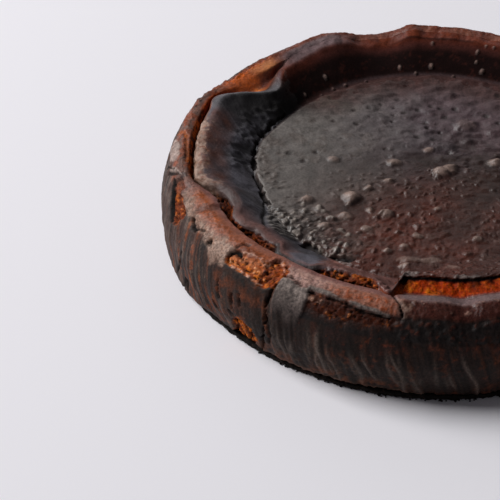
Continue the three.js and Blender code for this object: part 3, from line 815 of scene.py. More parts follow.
# Painted light makes the rift's lower left brightest, and painted shade darkens its top to black under the
# ledge
tint(RIFT_LIT, zone(258.5, 267, 8.3, 8.85, 3, 0.3) * ramp(blotch + 0.5 * coarse, -0.3, 0.4) * 0.7)
tint(RIFT_SHADE, rift_open * ramp(line + 0.3 * ragged + 0.2 * blotch, 8.65, 9.25), 0.8)
tint(RIFT_DEEP_SHADE, rift_open * ramp(line + 0.15 * ragged, 9.05, 9.5), 0.9)
tint(POCKET_ORANGE, pocket_open, 0.45)
# The pocket darkens under the collar's edge: painted shade
tint(POCKET_SHADE, pocket_open * ramp(line + 0.3 * blotch, 7.2, 8.0))
tint(POCKET_EDGE, pocket_open * (1 - ramp(line, 5.4, 5.8)) * 0.8)
tint(CRUMB_DEEP, left_open * (0.9 + 0.4 * ragged), 0.7)
tint(SPLIT_ORANGE, left_open * ramp(ragged + 0.5 * fine, -0.3, 0.4))
torn = np.maximum(torn, np.maximum(rift_open, left_open))

# Left rim: flaky skin that lifted in scales, with a torn line between them and a fold across the lip
FLAKE_MAUVE = "#5f4238"
FLAKE_RUST = "#7a391c"
FLAKE_DARK = "#2a130d"
FLAKE_PALE = "#94827a"
FLAKE_RISE = 0.5
RIM_TEAR = "#934812"
LIP_FOLD_SHADE = "#4a2a20"
rim_flakes = zone(150, 192, 4.8, 6.9, 8, 0.6)
ragged_rim = zone(126, 170, 5.2, 5.9, 8, 0.4)
relief += rim_flakes * (0.15 * coarse + 0.5 * blotch) + ragged_rim * (0.5 * coarse + 0.9 * ragged)
tint(FLAKE_MAUVE, rim_flakes * 0.9, 0.45)
tint(FLAKE_RUST, rim_flakes * ramp(blotch + 0.5 * ragged, -0.15, 0.25) * 0.75)
tint(FLAKE_DARK, rim_flakes * ramp(ragged - 0.7 * blotch, 0.3, 0.6) * 0.8)
PALE_FLAKES = (
    ((171.8, 4.9), (174.9, 5.5), (178, 5.65), (180.7, 5.74), (182, 5.46), (179, 4.66), (173.7, 4.5)),
    ((181.2, 4.6), (183, 5.15), (186, 5.6), (187.8, 5.7), (185.6, 5.2), (183.4, 4.7)),
)
for outline in PALE_FLAKES:
    inside = patch(outline, 0.8, 0.5)
    relief += FLAKE_RISE * inside
    tint(FLAKE_PALE, inside * (0.8 + 0.4 * ragged), 0.6)
rim_tear = stroke(
    ((169, 4.85), (169.6, 5.15), (172.1, 5.85), (173.9, 6.25), (178.6, 6.5), (183, 6.7)), 3.0, 0.8)
lip_fold = stroke(((200.4, 5.5), (201.6, 5.86), (202.2, 6.46), (202.6, 7.0)), 4.5, 0.3)
relief -= 0.4 * rim_tear + 0.6 * lip_fold
tint(RIM_TEAR, rim_tear * 0.75)
# The fold is darkened as painted shade
tint(LIP_FOLD_SHADE, lip_fold * 0.6)

# Flaps of grey papery skin that came loose at the front: rise, softness of its edge, then outline
FLAP_GREY = "#81746d"
FLAP_DARK = "#453b38"
FLAPS = (
    (0.8, 0.6, ((231.3, 5.0), (231.3, 5.42), (232.9, 5.5), (236.6, 5.34), (238.4, 5.46), (238.9, 5.02),
                (238.6, 4.4), (237.6, 3.4), (233.6, 3.2), (231.9, 3.2), (231.4, 4.5))),
    (0.6, 0.8, ((237.6, 5.54), (240, 5.58), (243.2, 5.58), (246, 5.44), (247, 5.4), (248.1, 5.48),
                (251, 5.43), (253.8, 5.38), (256.9, 5.2), (257, 5.12), (254.1, 5.2), (250, 5.26),
                (247.2, 5.38), (242.7, 5.42), (238.8, 5.4))),
    (0.7, 0.9, ((251.6, 9.6), (252.5, 10.1), (254.6, 10.4), (255.4, 9.9), (255, 9.5), (253.2, 9.3))),
)
for rise, edge, outline in FLAPS:
    inside = patch(outline, edge, 0.3) * ramp(line + 0.2 * ragged, 3.5, 4.5)
    relief = mix(relief, rise + 0.1 * fine, inside)
    tint(FLAP_DARK, inside, 0.65)
    papery = ramp(fine + 0.5 * thin_streak, -0.9, 0.7) * (0.08 + 0.82 * ramp(line, 4.2, 5.15))
    tint(FLAP_GREY, inside * papery)
    torn *= 1 - inside

# Cracks, folds and holes, blackened inside as painted shade: width and depth in mm, then the path
CRACK_SHADE = "#0b0403"
CRACKS = (
    (1.5, 3.4, ((230.8, 5.0), (230.6, 4.5), (230.3, 3.9))),
    (1.0, 3.0, ((230.4, 3.9), (231.0, 3.3), (230.8, 2.6), (229.9, 1.6), (228.9, 1.0))),
    (1.6, 0.6, ((231.2, 3.5), (232.6, 2.9), (232.0, 2.3))),
    (0.6, 1.6, ((256.4, 7.6), (257.0, 6.7), (258.1, 6.0), (259.6, 5.2))),
    (2.2, 1.6, ((201.8, 4.9), (203, 4.7), (204.4, 4.64))),
    (1.8, 0.9, ((204.8, 4.8), (206.8, 5.1))),
    (1.3, 1.2, ((209.7, 4.74), (210.4, 4.95))),
    (1.0, 0.5, ((210.3, 4.9), (211.6, 4.76))),
    (2.2, 1.6, ((217.4, 4.75), (216.8, 4.95), (216.8, 5.25), (217.8, 5.4), (219.2, 5.42))),
    (1.5, 0.6, ((217.0, 5.55), (217.8, 5.95), (218.8, 6.15))),
    (0.8, 0.9, ((231.2, 5.5), (232.9, 5.58), (236.4, 5.42))),
    (0.9, 1.2, ((238.2, 5.3), (241, 5.32), (245, 5.33), (247.2, 5.3), (250, 5.16), (254, 5.1),
                (256.9, 5.06))),
    (1.0, 0.7, ((202.6, 3.4), (202.2, 2.8), (201.2, 2.2), (199.5, 1.5), (196.5, 0.95))),
    (1.0, 0.5, ((205.6, 2.1), (204.2, 1.6), (202.0, 1.0))),
    (1.1, 0.9, ((217.0, 3.8), (217.5, 3.5), (218.4, 3.2))),
    (1.2, 0.9, ((221.4, 3.65), (221.8, 3.44), (222.6, 3.15))),
    (1.1, 0.8, ((223.6, 3.8), (223.9, 3.66), (224.3, 3.45))),
    (1.2, 0.8, ((216.5, 2.8), (216.9, 2.66), (217.7, 2.45))),
    (0.9, 0.6, ((204.9, 2.1), (205.2, 1.92), (206.0, 1.6))),
    (1.5, 0.6, ((221.6, 2.9), (222.6, 2.8))),
    (1.3, 0.8, ((223.4, 2.5), (222.6, 1.6), (221.6, 0.9))),
    (1.3, 0.9, ((227.2, 2.3), (226.4, 1.6), (225.6, 1.0))),
    (1.4, 0.8, ((179.8, 4.4), (182, 4.8), (183.8, 5.2))),
    (1.3, 0.8, ((182, 4.4), (184.8, 4.95), (187, 5.5))),
    (1.3, 3.2, ((11.6, 4.9), (12.0, 3.6), (12.8, 2.2))),
    (1.1, 2.2, ((98, 5.0), (98.6, 4.0), (99, 3.0))),
    (1.2, 2.4, ((318.6, 5.4), (319.2, 4.4), (319.6, 3.4))),
)
for width, depth, path in CRACKS:
    inside = stroke(path, width, 0.7)
    relief -= depth * inside
    tint(CRACK_SHADE, inside * min(1.0, 0.5 + 0.35 * depth), 0.85)
peel_slit = stroke(((186.9, 4.94), (190.4, 4.32), (194.3, 3.66)), 2.2, 0.15)
relief -= 0.6 * peel_slit
# The slit is blackened as painted shade
tint(CRACK_SHADE, ramp(peel_slit, 0.0, 0.6), 0.85)

# Collar: skin drawn tight over the slope, charcoal at the left, scorched black at the back, mauve in front
CHARCOAL = "#4a474d"
CHARCOAL_SHEEN = "#55525a"
CHARCOAL_DARK = "#2b282b"
FIBRE_SHEEN = "#6d6a72"
WORM_GAP_SHADE = "#0f0d0f"
ledge = stretch(angle, *LEDGE)
ledge_skin = ledge * ramp(line + 0.1 * ragged, 9.4, 9.7)
on_collar = band(9.2, 12.0, 0.4) * (1 - ledge) * (1 - torn)
drawn = uneven(polar(angle - 0.35 * (radius - 85), 90 + (radius - 90) / 5, 0), 4.0, 3, 51.0)
fibres = uneven(polar(angle + 0.5 * (radius - 85), 90 + (radius - 90) / 8, 0), 1.7, 2, 52.0)
billow = uneven(skin, 11.0, 2, 55.0)
worms = np.clip(1 - 3.0 * np.abs(uneven(skin * (0.8, 1.0, 0.6), 5.0, 2, 57.0)), 0, 1)
wormy = patch(
    ((143, 10.6), (150, 10.8), (165, 10.9), (182, 10.9), (180, 12.2), (165, 12.2), (147, 12.0)), 4, 2)
to_back = stretch(angle, 40, 137, 16)
mauve_slope = stretch(angle, 232, 258, 4)
relief += on_collar * ((0.05 + 0.25 * mauve_slope) * drawn + 0.7 * billow * (1 - to_back) + 0.15 * blotch)
relief += 0.8 * wormy * worms + 0.12 * on_collar * (1 - to_back) * fibres
tint(CHARCOAL, on_collar, SATIN)
# Paler grey on the billows and on the fibres at the left: painted sheen
tint_all(on_collar, (
    (CHARCOAL_SHEEN, stretch(angle, 146, 216, 12) * ramp(billow + 0.4 * blotch, -0.1, 0.6) * 0.6),
    (CHARCOAL_DARK, stretch(angle, 140, 226, 12) * ramp(drawn, 0.05, 0.4) * 0.55),
    (FIBRE_SHEEN, stretch(angle, 150, 222, 12) * band(10.3, 12.0, 0.6) * ramp(fibres, 0.1, 0.6) * 0.4),
))
# The gaps between the wrinkles are darkened as painted shade
tint(WORM_GAP_SHADE, wormy * (1 - worms) * 0.6)

# The collar's crest at the left: black beside the pocket and under the crest as painted shade, then brown,
# and dried pale along the split
CORNER_SHADE = "#0b0808"
CREST_BROWN = "#5c372d"
UNDER_CREST_SHADE = "#171314"
CREST_TAN = "#6e473a"
CREST_SHEEN = "#5c595c"
CREST_RUST = "#7a4630"
POCKET_ROOF = "#b5601f"
tint(CORNER_SHADE, zone(124, 152, 9.8, 12.0, 12) * 0.95)
tint(CREST_BROWN, zone(161, 194, 9.7, 10.7, 10, 0.5) * (0.75 + 0.6 * blotch))
tint(UNDER_CREST_SHADE, zone(126, 161, 10.05, 11.1, 8, 0.4) * 0.85)
tint(CREST_TAN, zone(157, 168, 7.9, 9.3, 5, 0.5) * (0.8 + 0.4 * blotch), 0.5)
# A soft grey band on the crest by the pocket: painted sheen
tint(CREST_SHEEN, zone(139, 161, 8.9, 10.05, 6, 0.5) * 0.8)
tint(CRUMB_ORANGE, zone(153, 162, 6.5, 9.0, 3, 0.5) * 0.8)
pale_crest = stretch(angle + 2 * ragged, 167, 194, 5) * ramp(line, 8.0, 8.5)
pale_crest *= 1 - ramp(line + 0.5 * ragged + 0.35 * coarse, 9.7, 10.15)
relief += pale_crest * (0.35 * coarse + 0.3 * ragged)
tint(FROST_PINK, pale_crest * 0.9, 0.6)
tint(FROST_PALE, pale_crest * ramp(fine + ragged, -0.6, 0.3) * 0.85, 0.7)
tint(CREST_RUST, pale_crest * ramp(line + 0.3 * ragged, 9.2, 9.6) * ramp(coarse, -0.1, 0.3) * 0.8)
tint(POCKET_ROOF, zone(143, 157, 7.7, 8.5, 4, 0.4) * (0.6 + 0.6 * ragged))

# The collar in front: a dark crest over a grey slope, then mauve, with a dark line of painted shade along the
# closed split
CREST_DARK = "#452f2c"
SLOPE_GREY = "#3b393e"
COLLAR_MAUVE = "#63403a"
MAUVE_PALE = "#80564c"
SPLIT_SHADE = "#1c0d0a"
TONGUE_SHEEN = "#5a5a63"
tint(CREST_DARK, zone(193, 234, 8.7, 10.1, 4, 0.5) * (1 - torn) * 0.95, 0.55)
tint(SLOPE_GREY, zone(196, 232, 10.4, 11.6, 6, 0.8) * (0.7 + 0.5 * blotch))
tint(COLLAR_MAUVE, zone(204, 258, 9.4, 10.5, 6, 1.1) * (1 - ledge_skin) * (1 - torn) * 0.9)
tint(COLLAR_MAUVE, zone(232, 258, 9.9, 12.6, 4, 0.6) * (1 - ledge_skin) * (1 - torn))
tint(MAUVE_PALE, mauve_slope * band(10.2, 12.5, 0.5) * ramp(drawn, 0.1, 0.5) * 0.5)
tint(SPLIT_SHADE, zone(221, 236, 7.4, 9.76, 2, 0.16) * 0.92)
# A grey patch on the mauve slope: painted sheen
tongue_sheen = patch(((226, 10.2), (229, 11.3), (232, 11.2), (235.5, 10.2), (233, 9.9), (228, 9.8)), 3.5, 1.2)
tint(TONGUE_SHEEN, tongue_sheen * 0.8)

# The collar at the back: a red-brown crest over a wall that charred black and dull
BACK_RED = "#66301f"
BACK_LIT = "#7d4936"
BACK_GREY = "#6a5a5c"
POCKET_LIT = "#cf8450"
BACK_CREASE_SHADE = "#1d0b08"
BACK_DARK = "#40190f"
COLLAR_BLACK = "#140706"
BACK_SPECK = "#3a1a14"
crest_lit = uneven(polar(angle, 90, 0), 7.0, 2, 53.0)
back_wall = to_back * band(10.5, 11.75, 0.4)
tint(BACK_RED, to_back * band(5.4, 10.3, 0.3) * (0.9 + 0.35 * blotch), 0.42)
# Lighter red-brown in places along the crest: painted highlight
tint(BACK_LIT, to_back * band(6.0, 8.0, 0.8) * ramp(crest_lit, 0.0, 0.5) * 0.7)
tint(BACK_GREY, zone(111, 131, 6.2, 10.2, 9, 0.5) * 0.85)
# A pale spot in the pocket: painted highlight
tint(POCKET_LIT, pocket_open * swell(angle, 136, 3.4) * band(5.9, 7.1, 0.6) * (0.75 + 0.5 * blotch))
# A dark line along the back roll where it creases: painted shade
tint(BACK_CREASE_SHADE, zone(74, 96, 9.95, 10.15, 6, 0.2) * 0.8)
tint(BACK_DARK, to_back * band(10.1, 10.9, 0.4) * 0.9)
tint(COLLAR_BLACK, back_wall, 0.55)
tint(BACK_SPECK, back_wall * ramp(fine + ragged, 0.3, 0.9) * 0.4)
charred = stretch(angle + 6 * blotch + 4 * ragged, 40, 137, 8) * ramp(line, 8.6, 9.2)
charred *= 1 - ramp(line + 0.5 * ragged + 0.4 * blotch, 12.9, 13.6)  # 1 where the wall burnt through
dulled = stretch(angle + 6 * blotch, 40, 150, 30) * ramp(line, 9.8, 10.2)  # a wider place without gloss
relief += to_back * band(5.6, 10.2, 0.4) * (0.8 * uneven(skin, 7.5, 2, 58.0) + 0.2 * coarse)

# Where the split ends in front, the collar tore: an orange gap, and its ragged end
TEAR_GAP = "#8a3a10"
TEAR_END = "#7c3510"
tear_gap = zone(252.8, 258.4, 7.6, 9.6, 1, 0.3)
tear_end = zone(252, 259.5, 8.6, 10.4, 2, 0.4)
relief += tear_end * (0.6 * coarse + 0.6 * ragged) - 1.2 * tear_gap
# Both oranges are made lighter to make up for the shade the torn collar casts here: painted light
tint(TEAR_GAP, tear_gap * (0.9 + 0.4 * ragged), 0.7)
tint(TEAR_END, tear_end * (1 - ramp(line + 0.4 * ragged, 9.1, 9.6)) * 0.9)

# Dried bubbles on the back wall, tinted pale as painted glints: angle, line and half width
BEAD_GLINT = "#725b53"
BEADS = (
    (86.7, 11.3, 1.2), (97.1, 11.3, 1.0), (72.5, 10.9, 0.9), (69.8, 11.3, 1.2), (73, 10.5, 1.0),
    (68.8, 10.2, 0.8), (71.1, 10.2, 0.8), (86.4, 10.3, 0.9), (92, 11.7, 0.9), (118, 11.8, 1.0),
    (79, 11.8, 0.9), (123, 11.1, 1.0), (128.2, 11.9, 0.9), (122.8, 11.76, 0.8), (133.6, 11.4, 0.8),
    (110.2, 11.9, 0.8),
)
for turn, rung, half in BEADS:
    near, x, y, _, corner_y = laid_flat(((turn, rung),))
    bead = np.zeros(len(skin))
    away = np.hypot(x * radius[near] / SHOULDER[0], y - corner_y[0]) / half
    bead[near] = np.clip(1 - away ** 2, 0, 1)
    relief += 0.8 * half * np.sqrt(bead)
    tint(BEAD_GLINT, bead * 0.85, 0.5)
    charred *= bead == 0

# Seam: the collar's foot is parted from the disc by a crack, and by gaps in front; both are blackened as
# painted shade
seam_left = stroke(((146, 11.65), (160, 11.75), (168, 11.85), (175, 12.05), (180, 11.92), (187, 12.0),
                    (194, 12.1), (198, 12.5)), 2.0, 1.3)
overlap = stroke(((195, 12.1), (200, 11.6), (205, 11.2), (210, 10.85), (214, 10.4)), 1.5, 0.4)
left_gap = patch(((220.6, 11.3), (221.2, 12.1), (222.8, 12.9), (225.3, 13.0), (229, 12.4), (228.3, 11.8),
                  (224.5, 12.1), (222.7, 11.5)), 1.0, 0.6)
right_gap = patch(
    ((231.6, 12.3), (233.5, 12.9), (236, 13.25), (240, 13.35), (239, 12.9), (235, 12.4)), 0.8, 0.5)
gaps = np.maximum(left_gap, right_gap)
relief -= 1.8 * seam_left + 0.8 * overlap + 2.0 * gaps

# A lobe of the disc's skin lies on the collar's foot at the left, wrinkled in rings round one place
SWIRL_MIDDLE = (-67, -36)
SWIRL_SQUASH = 1.3
SWIRL_TURN = 1.7  # radians of a wrinkle in each mm
lobe = patch(((197, 12.4), (200.5, 11.8), (205, 11.4), (210, 11.0), (214.5, 10.6), (218, 11.2), (219, 12.2),
              (214, 13.1), (203, 13.2)), 2.0, 0.8)
swirl_reach = np.hypot(skin[:, 0] - SWIRL_MIDDLE[0], (skin[:, 1] - SWIRL_MIDDLE[1]) * SWIRL_SQUASH)
swirl = np.sin(SWIRL_TURN * swirl_reach + 3.0 * blotch + 1.5 * ragged)
relief += lobe * (0.6 + 0.45 * swirl)

# Disc: satin skin, brown in front, with painted sheen that makes it grey at the left and mauve at the back;
# pits at the back and small bumps in front
DISC_BROWN = "#26150f"
DISC_RUST = "#532111"
DISC_SHEEN_GREY = "#5f5955"
DISC_SHEEN_MAUVE = "#483d41"
DISC_PLUM = "#4c383b"
DISC_BACK = "#402a27"
DISC_DUST = "#4a3f39"
LOBE_HIGHLIGHT = "#7a736f"
LOBE_SHADE = "#1f1918"
PIMPLE_PALE = "#5f4c45"
LEDGE_EDGE_AND_SHADE = "#0d0504"
LEDGE_SHEEN = "#665b57"
on_disc = np.maximum(ramp(line, 11.9, 12.7), ledge_skin)
to_right, to_rear = skin[:, 0], skin[:, 1]
leather = uneven(skin * (0.8, 1.0, 1.0), 4.2, 3, 61.0)
ripple = uneven(skin * (0.6, 1.0, 1.0), 4.4, 2, 67.0) * ramp(to_rear + 0.6 * to_right, -20, 30)
frontal = ramp(-to_rear + 8 * blotch, -14, 44)
sandy = ramp(-to_rear + 8 * blotch, -34, 14)
pimpled = on_disc * (0.25 + 0.75 * sandy) * ramp(cloud + 0.6 * blotch, -0.5, 0.2)
pimple = pimpled * ramp(uneven(skin, 2.6, 2, 63.0), 0.05, 0.6)
wrinkled = (0.2 + 0.35 * frontal) * (1 - 0.5 * ramp(to_right, -10, 40)) * leather
relief += on_disc * (wrinkled + 0.15 * frontal * fine + 0.3 * cloud + 1.1 * ripple)
relief += 0.65 * pimple
tint(DISC_BROWN, on_disc, SATIN)
# The grey at the left and the mauve at the back are painted sheen
tint_all(on_disc, (
    (DISC_RUST, frontal * ramp(-to_right + 10 * cloud, -60, 20) * (0.7 + 0.6 * cloud)),
    (DISC_SHEEN_MAUVE, ramp(to_rear - 0.2 * to_right + 14 * cloud + 6 * blotch, -8, 40) * 0.95, 0.45),
    (DISC_PLUM, ramp(to_rear + to_right + 12 * blotch, 20, 60) * 0.6),
    (DISC_SHEEN_GREY, ramp(-to_right + 0.35 * to_rear + 12 * cloud, 8, 64) * 0.95, 0.5),
))
# The lobe's grey is painted sheen; pale on its wrinkle crests and dark in their troughs are painted highlight
# and shade
tint_all(lobe, (
    (DISC_SHEEN_GREY, 0.8 + 0.3 * swirl, 0.5),
    (LOBE_HIGHLIGHT, ramp(swirl, 0.2, 0.9) * 0.6),
    (LOBE_SHADE, ramp(-swirl, 0.4, 0.95) * 0.5),
))
tint(PIMPLE_PALE, pimple * 0.22)
tint(DISC_BACK, to_back * ramp(line, 11.5, 11.9) * (1 - ramp(line + 0.2 * blotch, 13.3, 14.8)) * 0.9)
tint(DISC_DUST, on_disc * ramp(-to_right, 10, 40) * ramp(blotch + cloud, 0.0, 0.5) * 0.5)
dull[:] = mix(dull, 1.0, dulled * (1 - ramp(line + 0.3 * blotch, 13.6, 15.2)))
# Black in the seam, in the gaps and along the lobe's lower edge: painted shade
tint(COLLAR_BLACK, np.maximum(np.maximum(seam_left, overlap * 0.6), gaps), 0.8)
# Black along the ledge's broken edge: partly its burnt crust and partly painted shade under the overhang
tint(LEDGE_EDGE_AND_SHADE, ledge * band(9.0, 9.55, 0.2), 0.8)
# Grey on the ledge's waves: painted sheen
tint(LEDGE_SHEEN, ledge_skin * band(9.7, 10.9, 0.3) * ramp(leather + blotch, 0.0, 0.6) * 0.7)

# The disc's front left edge boiled: rough and shiny between its pebbles, which follow below
BOILED_DARK = "#1d1411"
boiled = patch(((200, 13.15), (212, 12.7), (219, 12.9), (226, 13.2), (233, 13.2), (240, 13.2), (240, 13.8),
                (226, 14.1), (210, 14.2), (201, 13.8)), 3.0, 2.5) * on_disc
relief += boiled * 0.35 * coarse
tint(BOILED_DARK, boiled * ramp(ragged, -0.3, 0.3) * 0.6, 0.3)

# Blisters: x, y, half width and height, then how far they are drawn out to the right
BLISTER_HIGHLIGHT = "#8b756b"
FAR_BACK = 30  # past this y a blister is seen against the light and gets little painted highlight
BLISTERS = (
    (3.3, -0.6, 4.4, 2.8, 0.1), (7.0, 2.0, 4.0, 2.3, 0.2), (-35, -18.5, 4.4, 2.9, 0.1),
    (-36.4, -22.6, 1.5, 1.3, 0.0), (-21, -30, 3.4, 2.3, 0.2), (-54, -20.5, 3.0, 1.9, 0.2),
    (-16, 6.6, 3.2, 1.5, 0.4), (17, 34, 5.4, 1.9, 0.2), (-42, 8.8, 2.8, 1.2, 0.2),
    (15, -46.5, 2.4, 1.6, 0.1), (27, 6.2, 3.2, 1.6, 0.4), (46, -20, 3.6, 2.0, 0.2),
    (-19, -6.4, 2.3, 1.1, 0.3), (-28, -12, 2.1, 1.2, 0.2), (-1, 16, 2.3, 1.0, 0.3),
    (-38.2, -31, 3.2, 1.8, 0.4), (-9, -44.5, 2.1, 1.2, 0.5), (-15.2, -51, 1.7, 1.0, 0.4),
    (-22, -54.3, 1.9, 1.1, 0.3), (-14, -60, 3.2, 1.0, 1.2), (-5, -60.4, 2.6, 0.8, 1.3),
    (3.2, -67, 2.6, 0.7, 0.8), (-16, -64, 2.0, 1.1, 0.5), (-47, -38, 2.6, 1.6, 0.1),
    (-30, -40, 2.8, 1.6, 0.2), (-28, -27, 1.6, 0.9, 0.2), (0, -26, 1.7, 0.9, 0.3),
    (33, -40, 2.8, 1.4, 0.3), (52, 18, 2.6, 1.2, 0.3), (38, 40, 2.4, 1.0, 0.2), (60, -6, 2.2, 1.1, 0.3),
)
disc_points = np.flatnonzero((radius < 80) & (line > COLLAR))
blistered = np.zeros(len(skin))


def dome(x, y, half, longer, deeper=0.0):
    """How far inside a round place of the disc each of its points is, from 0 to 1."""
    away_x = (skin[disc_points, 0] - x) / (1 + longer) / half
    away_y = (skin[disc_points, 1] - y) / (1 + deeper) / half
    away = np.hypot(away_x, away_y) * (1 + 0.2 * ragged[disc_points])
    return np.clip(1 - away ** 2, 0, 1) ** 1.3 * on_disc[disc_points]


def dome_at(reach, turn, half, longer, deeper=0.0):
    """The same, for a place given by its distance from the middle and its angle."""
    turn = math.radians(turn)
    return dome(reach * math.cos(turn), reach * math.sin(turn), half, longer, deeper)


def raise_dome(inside, rise):
    """Blisters that meet don't add up: the higher one shows."""
    blistered[disc_points] = np.maximum(blistered[disc_points], rise * inside)


def tint_dome(code, share):
    """Lays a colour over the disc's points alone."""
    whole = np.zeros(len(skin))
    whole[disc_points] = share
    tint(code, whole)


for x, y, half, rise, longer in BLISTERS:
    inside = dome(x, y, half, longer)
    raise_dome(inside, rise)
    # The blisters' tops are tinted paler as painted highlight, most on high, narrow ones
    highlight_share = min(0.75, 1.2 * rise / half) * (1 if y < FAR_BACK else 0.4)
    tint_dome(BLISTER_HIGHLIGHT, highlight_share * ramp(inside, 0.15, 0.8))

# Pits at the back, the plainest listed one by one and the rest by chance, and small bumps in front
PIT_BLACK = "#1c0f0c"
PIT_BROWN = "#241512"
BUMP_PALE = "#57463d"
PIT_SIZE = 1.5
PIT_DEPTH = 0.6
SMALL_PITS = 36
SMALL_PIT_REACH = 62  # mm from the middle
SMALL_PIT_TURN = (-10, 150)  # degrees
SMALL_PIT_DEPTH = 0.3
BUMPS = 110
BUMP_REACH = 70
BUMP_TURN = (195, 395)
BUMP_RISE = 0.42  # for each mm of half width
PITS = (
    (-10, 43.5), (-15, 37.7), (6.4, 47), (2.6, 49), (-28.7, 27), (-4.6, 25.5), (-7.7, 51), (-14.5, 42.3),
    (-0.2, 32), (5.2, 29.5), (-12, 54), (-13.8, 48.6), (12.8, 46.5), (-0.5, 37), (1.9, 23.8), (-3.3, 46),
    (8.2, 41), (-19, 16.7), (-61, 13), (-54.7, 7.7), (-49.3, 14), (-41, 37.8), (-24.9, 47.6),
    (-31.6, 45.7), (-30.9, 35.5), (-19.6, 51), (26, 41.5), (31, 36), (32.8, 56.6), (7.8, 13.7),
)
for x, y in PITS:
    inside = dome(x, y, PIT_SIZE * (1 + 0.25 * math.sin(x)), 0.15)
    relief[disc_points] -= PIT_DEPTH * inside
    tint_dome(PIT_BLACK, 0.75 * ramp(inside, 0.1, 0.8))
for dot in range(SMALL_PITS):
    reach = SMALL_PIT_REACH * math.sqrt(chance.random())
    turn = chance.uniform(*SMALL_PIT_TURN)
    inside = dome_at(reach, turn, chance.uniform(0.9, 1.8), chance.uniform(0, 0.5))
    relief[disc_points] -= SMALL_PIT_DEPTH * inside
    tint_dome(PIT_BROWN, 0.4 * inside)
for dot in range(BUMPS):
    reach = BUMP_REACH * math.sqrt(chance.random())
    turn = chance.uniform(*BUMP_TURN)
    half = chance.uniform(0.7, 1.5)
    inside = dome_at(reach, turn, half, chance.uniform(0.1, 1.0))
    raise_dome(inside, BUMP_RISE * half)
    tint_dome(BUMP_PALE, 0.2 * inside)

# Pebbles: the skin at the disc's front left edge boiled up into lumps, largest next to the seam
PEBBLES = 80
PEBBLE_HIGHLIGHT = "#8a7f77"
PEBBLE_TURN = (203, 234)
PEBBLE_REACH = 73.5
PEBBLE_RUN = 19  # how far in from there they die out
for dot in range(PEBBLES):
    turn = chance.uniform(*PEBBLE_TURN)
    reach = PEBBLE_REACH - PEBBLE_RUN * chance.random() ** 2
    half = chance.uniform(0.4, 0.9) + 1.4 * chance.random() ** 4
    inside = dome_at(reach, turn, half, chance.uniform(0, 0.5), chance.uniform(0, 0.8))
    raise_dome(inside, half * chance.uniform(0.4, 0.9))
    # The pebbles' tops are tinted paler as painted highlight
    tint_dome(PEBBLE_HIGHLIGHT, 0.75 * ramp(inside, 0.4, 0.95))
relief += blistered
skin += outward * (relief * not_underside)[:, None]

# Hem: the skin's foot sags over the base's top edge, less where the base shows in black arches
HEM_DROP = 0.9
HEM_OVER = (150, 211, 10)  # at the left it hangs right over the edge: start, end, soft
HEM_OVER_DROP = 1.5
HEM_OVER_OUT = 1.0
hem = band(0.55, 1.7, 0.8)
hem_over = hem * stretch(angle, *HEM_OVER)
skin[:, :2] *= 1 + (HEM_OVER_OUT / FOOT[0] * hem_over)[:, None]
skin[:, 2] -= HEM_DROP * hem * (0.75 + 0.7 * blotch + 0.4 * ragged) + HEM_OVER_DROP * hem_over
skin[:, 2] = np.clip(skin[:, 2], 0.2, None)
move_points(cheesecake, skin)
tint_layer = cheesecake.data.attributes.new("skin_tint", "FLOAT_COLOR", "POINT")
tint_layer.data.foreach_set("color", tints.astype(np.float32).ravel())
dull_layer = cheesecake.data.attributes.new("skin_dullness", "FLOAT", "POINT")
dull_layer.data.foreach_set("value", dull.astype(np.float32))

# Scorched custard skin: a thin crust, tinted by how far each place browned, burnt, dried or tore, and by
# painted sheen, highlight and shade.
# On top it dried tight and satin, with a broad soft gloss. On the side the paper left it dull.
# Where the skin is gone or charred through, what is left soaks up light and hardly shines.
SPECKLE = 0.9  # mm; the real crust's grain is finer, drawn this coarse so that it shows
MOTTLE = 5.0


def custard_skin(name, shine, grain_strength, contrast):
    """One finish of the crust: how it shines, how deep its grain is and how far light and dark differ."""
    material, tree, place = new_material(name)
    speckle = add_node(tree, "ShaderNodeTexNoise", {
        "Vector": place, "Scale": 1 / (SPECKLE * MM), "Detail": 3.0, "Roughness": 0.6})
    mottle = add_node(tree, "ShaderNodeTexNoise", {
        "Vector": place, "Scale": 1 / (MOTTLE * MM), "Detail": 4.0, "Roughness": 0.6})
    browned = add_node(tree, "ShaderNodeAttribute", attribute_name="skin_tint").outputs["Color"]
    rough = add_node(tree, "ShaderNodeAttribute", attribute_name="skin_dullness").outputs["Fac"]
    for texture, least, most in ((speckle, 1 - contrast, 1 + contrast), (mottle, 0.75, 1.25)):
        toned = add_node(tree, "ShaderNodeMapRange", {
            "Value": texture.outputs["Fac"], "From Min": 0.3, "From Max": 0.7,
            "To Min": least, "To Max": most})
        browned = add_node(tree, "ShaderNodeHueSaturation", {
            "Color": browned, "Value": toned.outputs["Result"]}).outputs["Color"]
    grained = add_node(tree, "ShaderNodeBump", {
        "Height": speckle.outputs["Fac"], "Strength": grain_strength, "Distance": 0.35 * MM})
    shader = add_node(tree, "ShaderNodeBsdfPrincipled", {
        "Base Color": browned, "Roughness": rough, "IOR": 1.45, "Specular IOR Level": shine,
        "Normal": grained.outputs["Normal"]})
    add_node(tree, "ShaderNodeOutputMaterial", {"Surface": shader.outputs["BSDF"]})
    return material


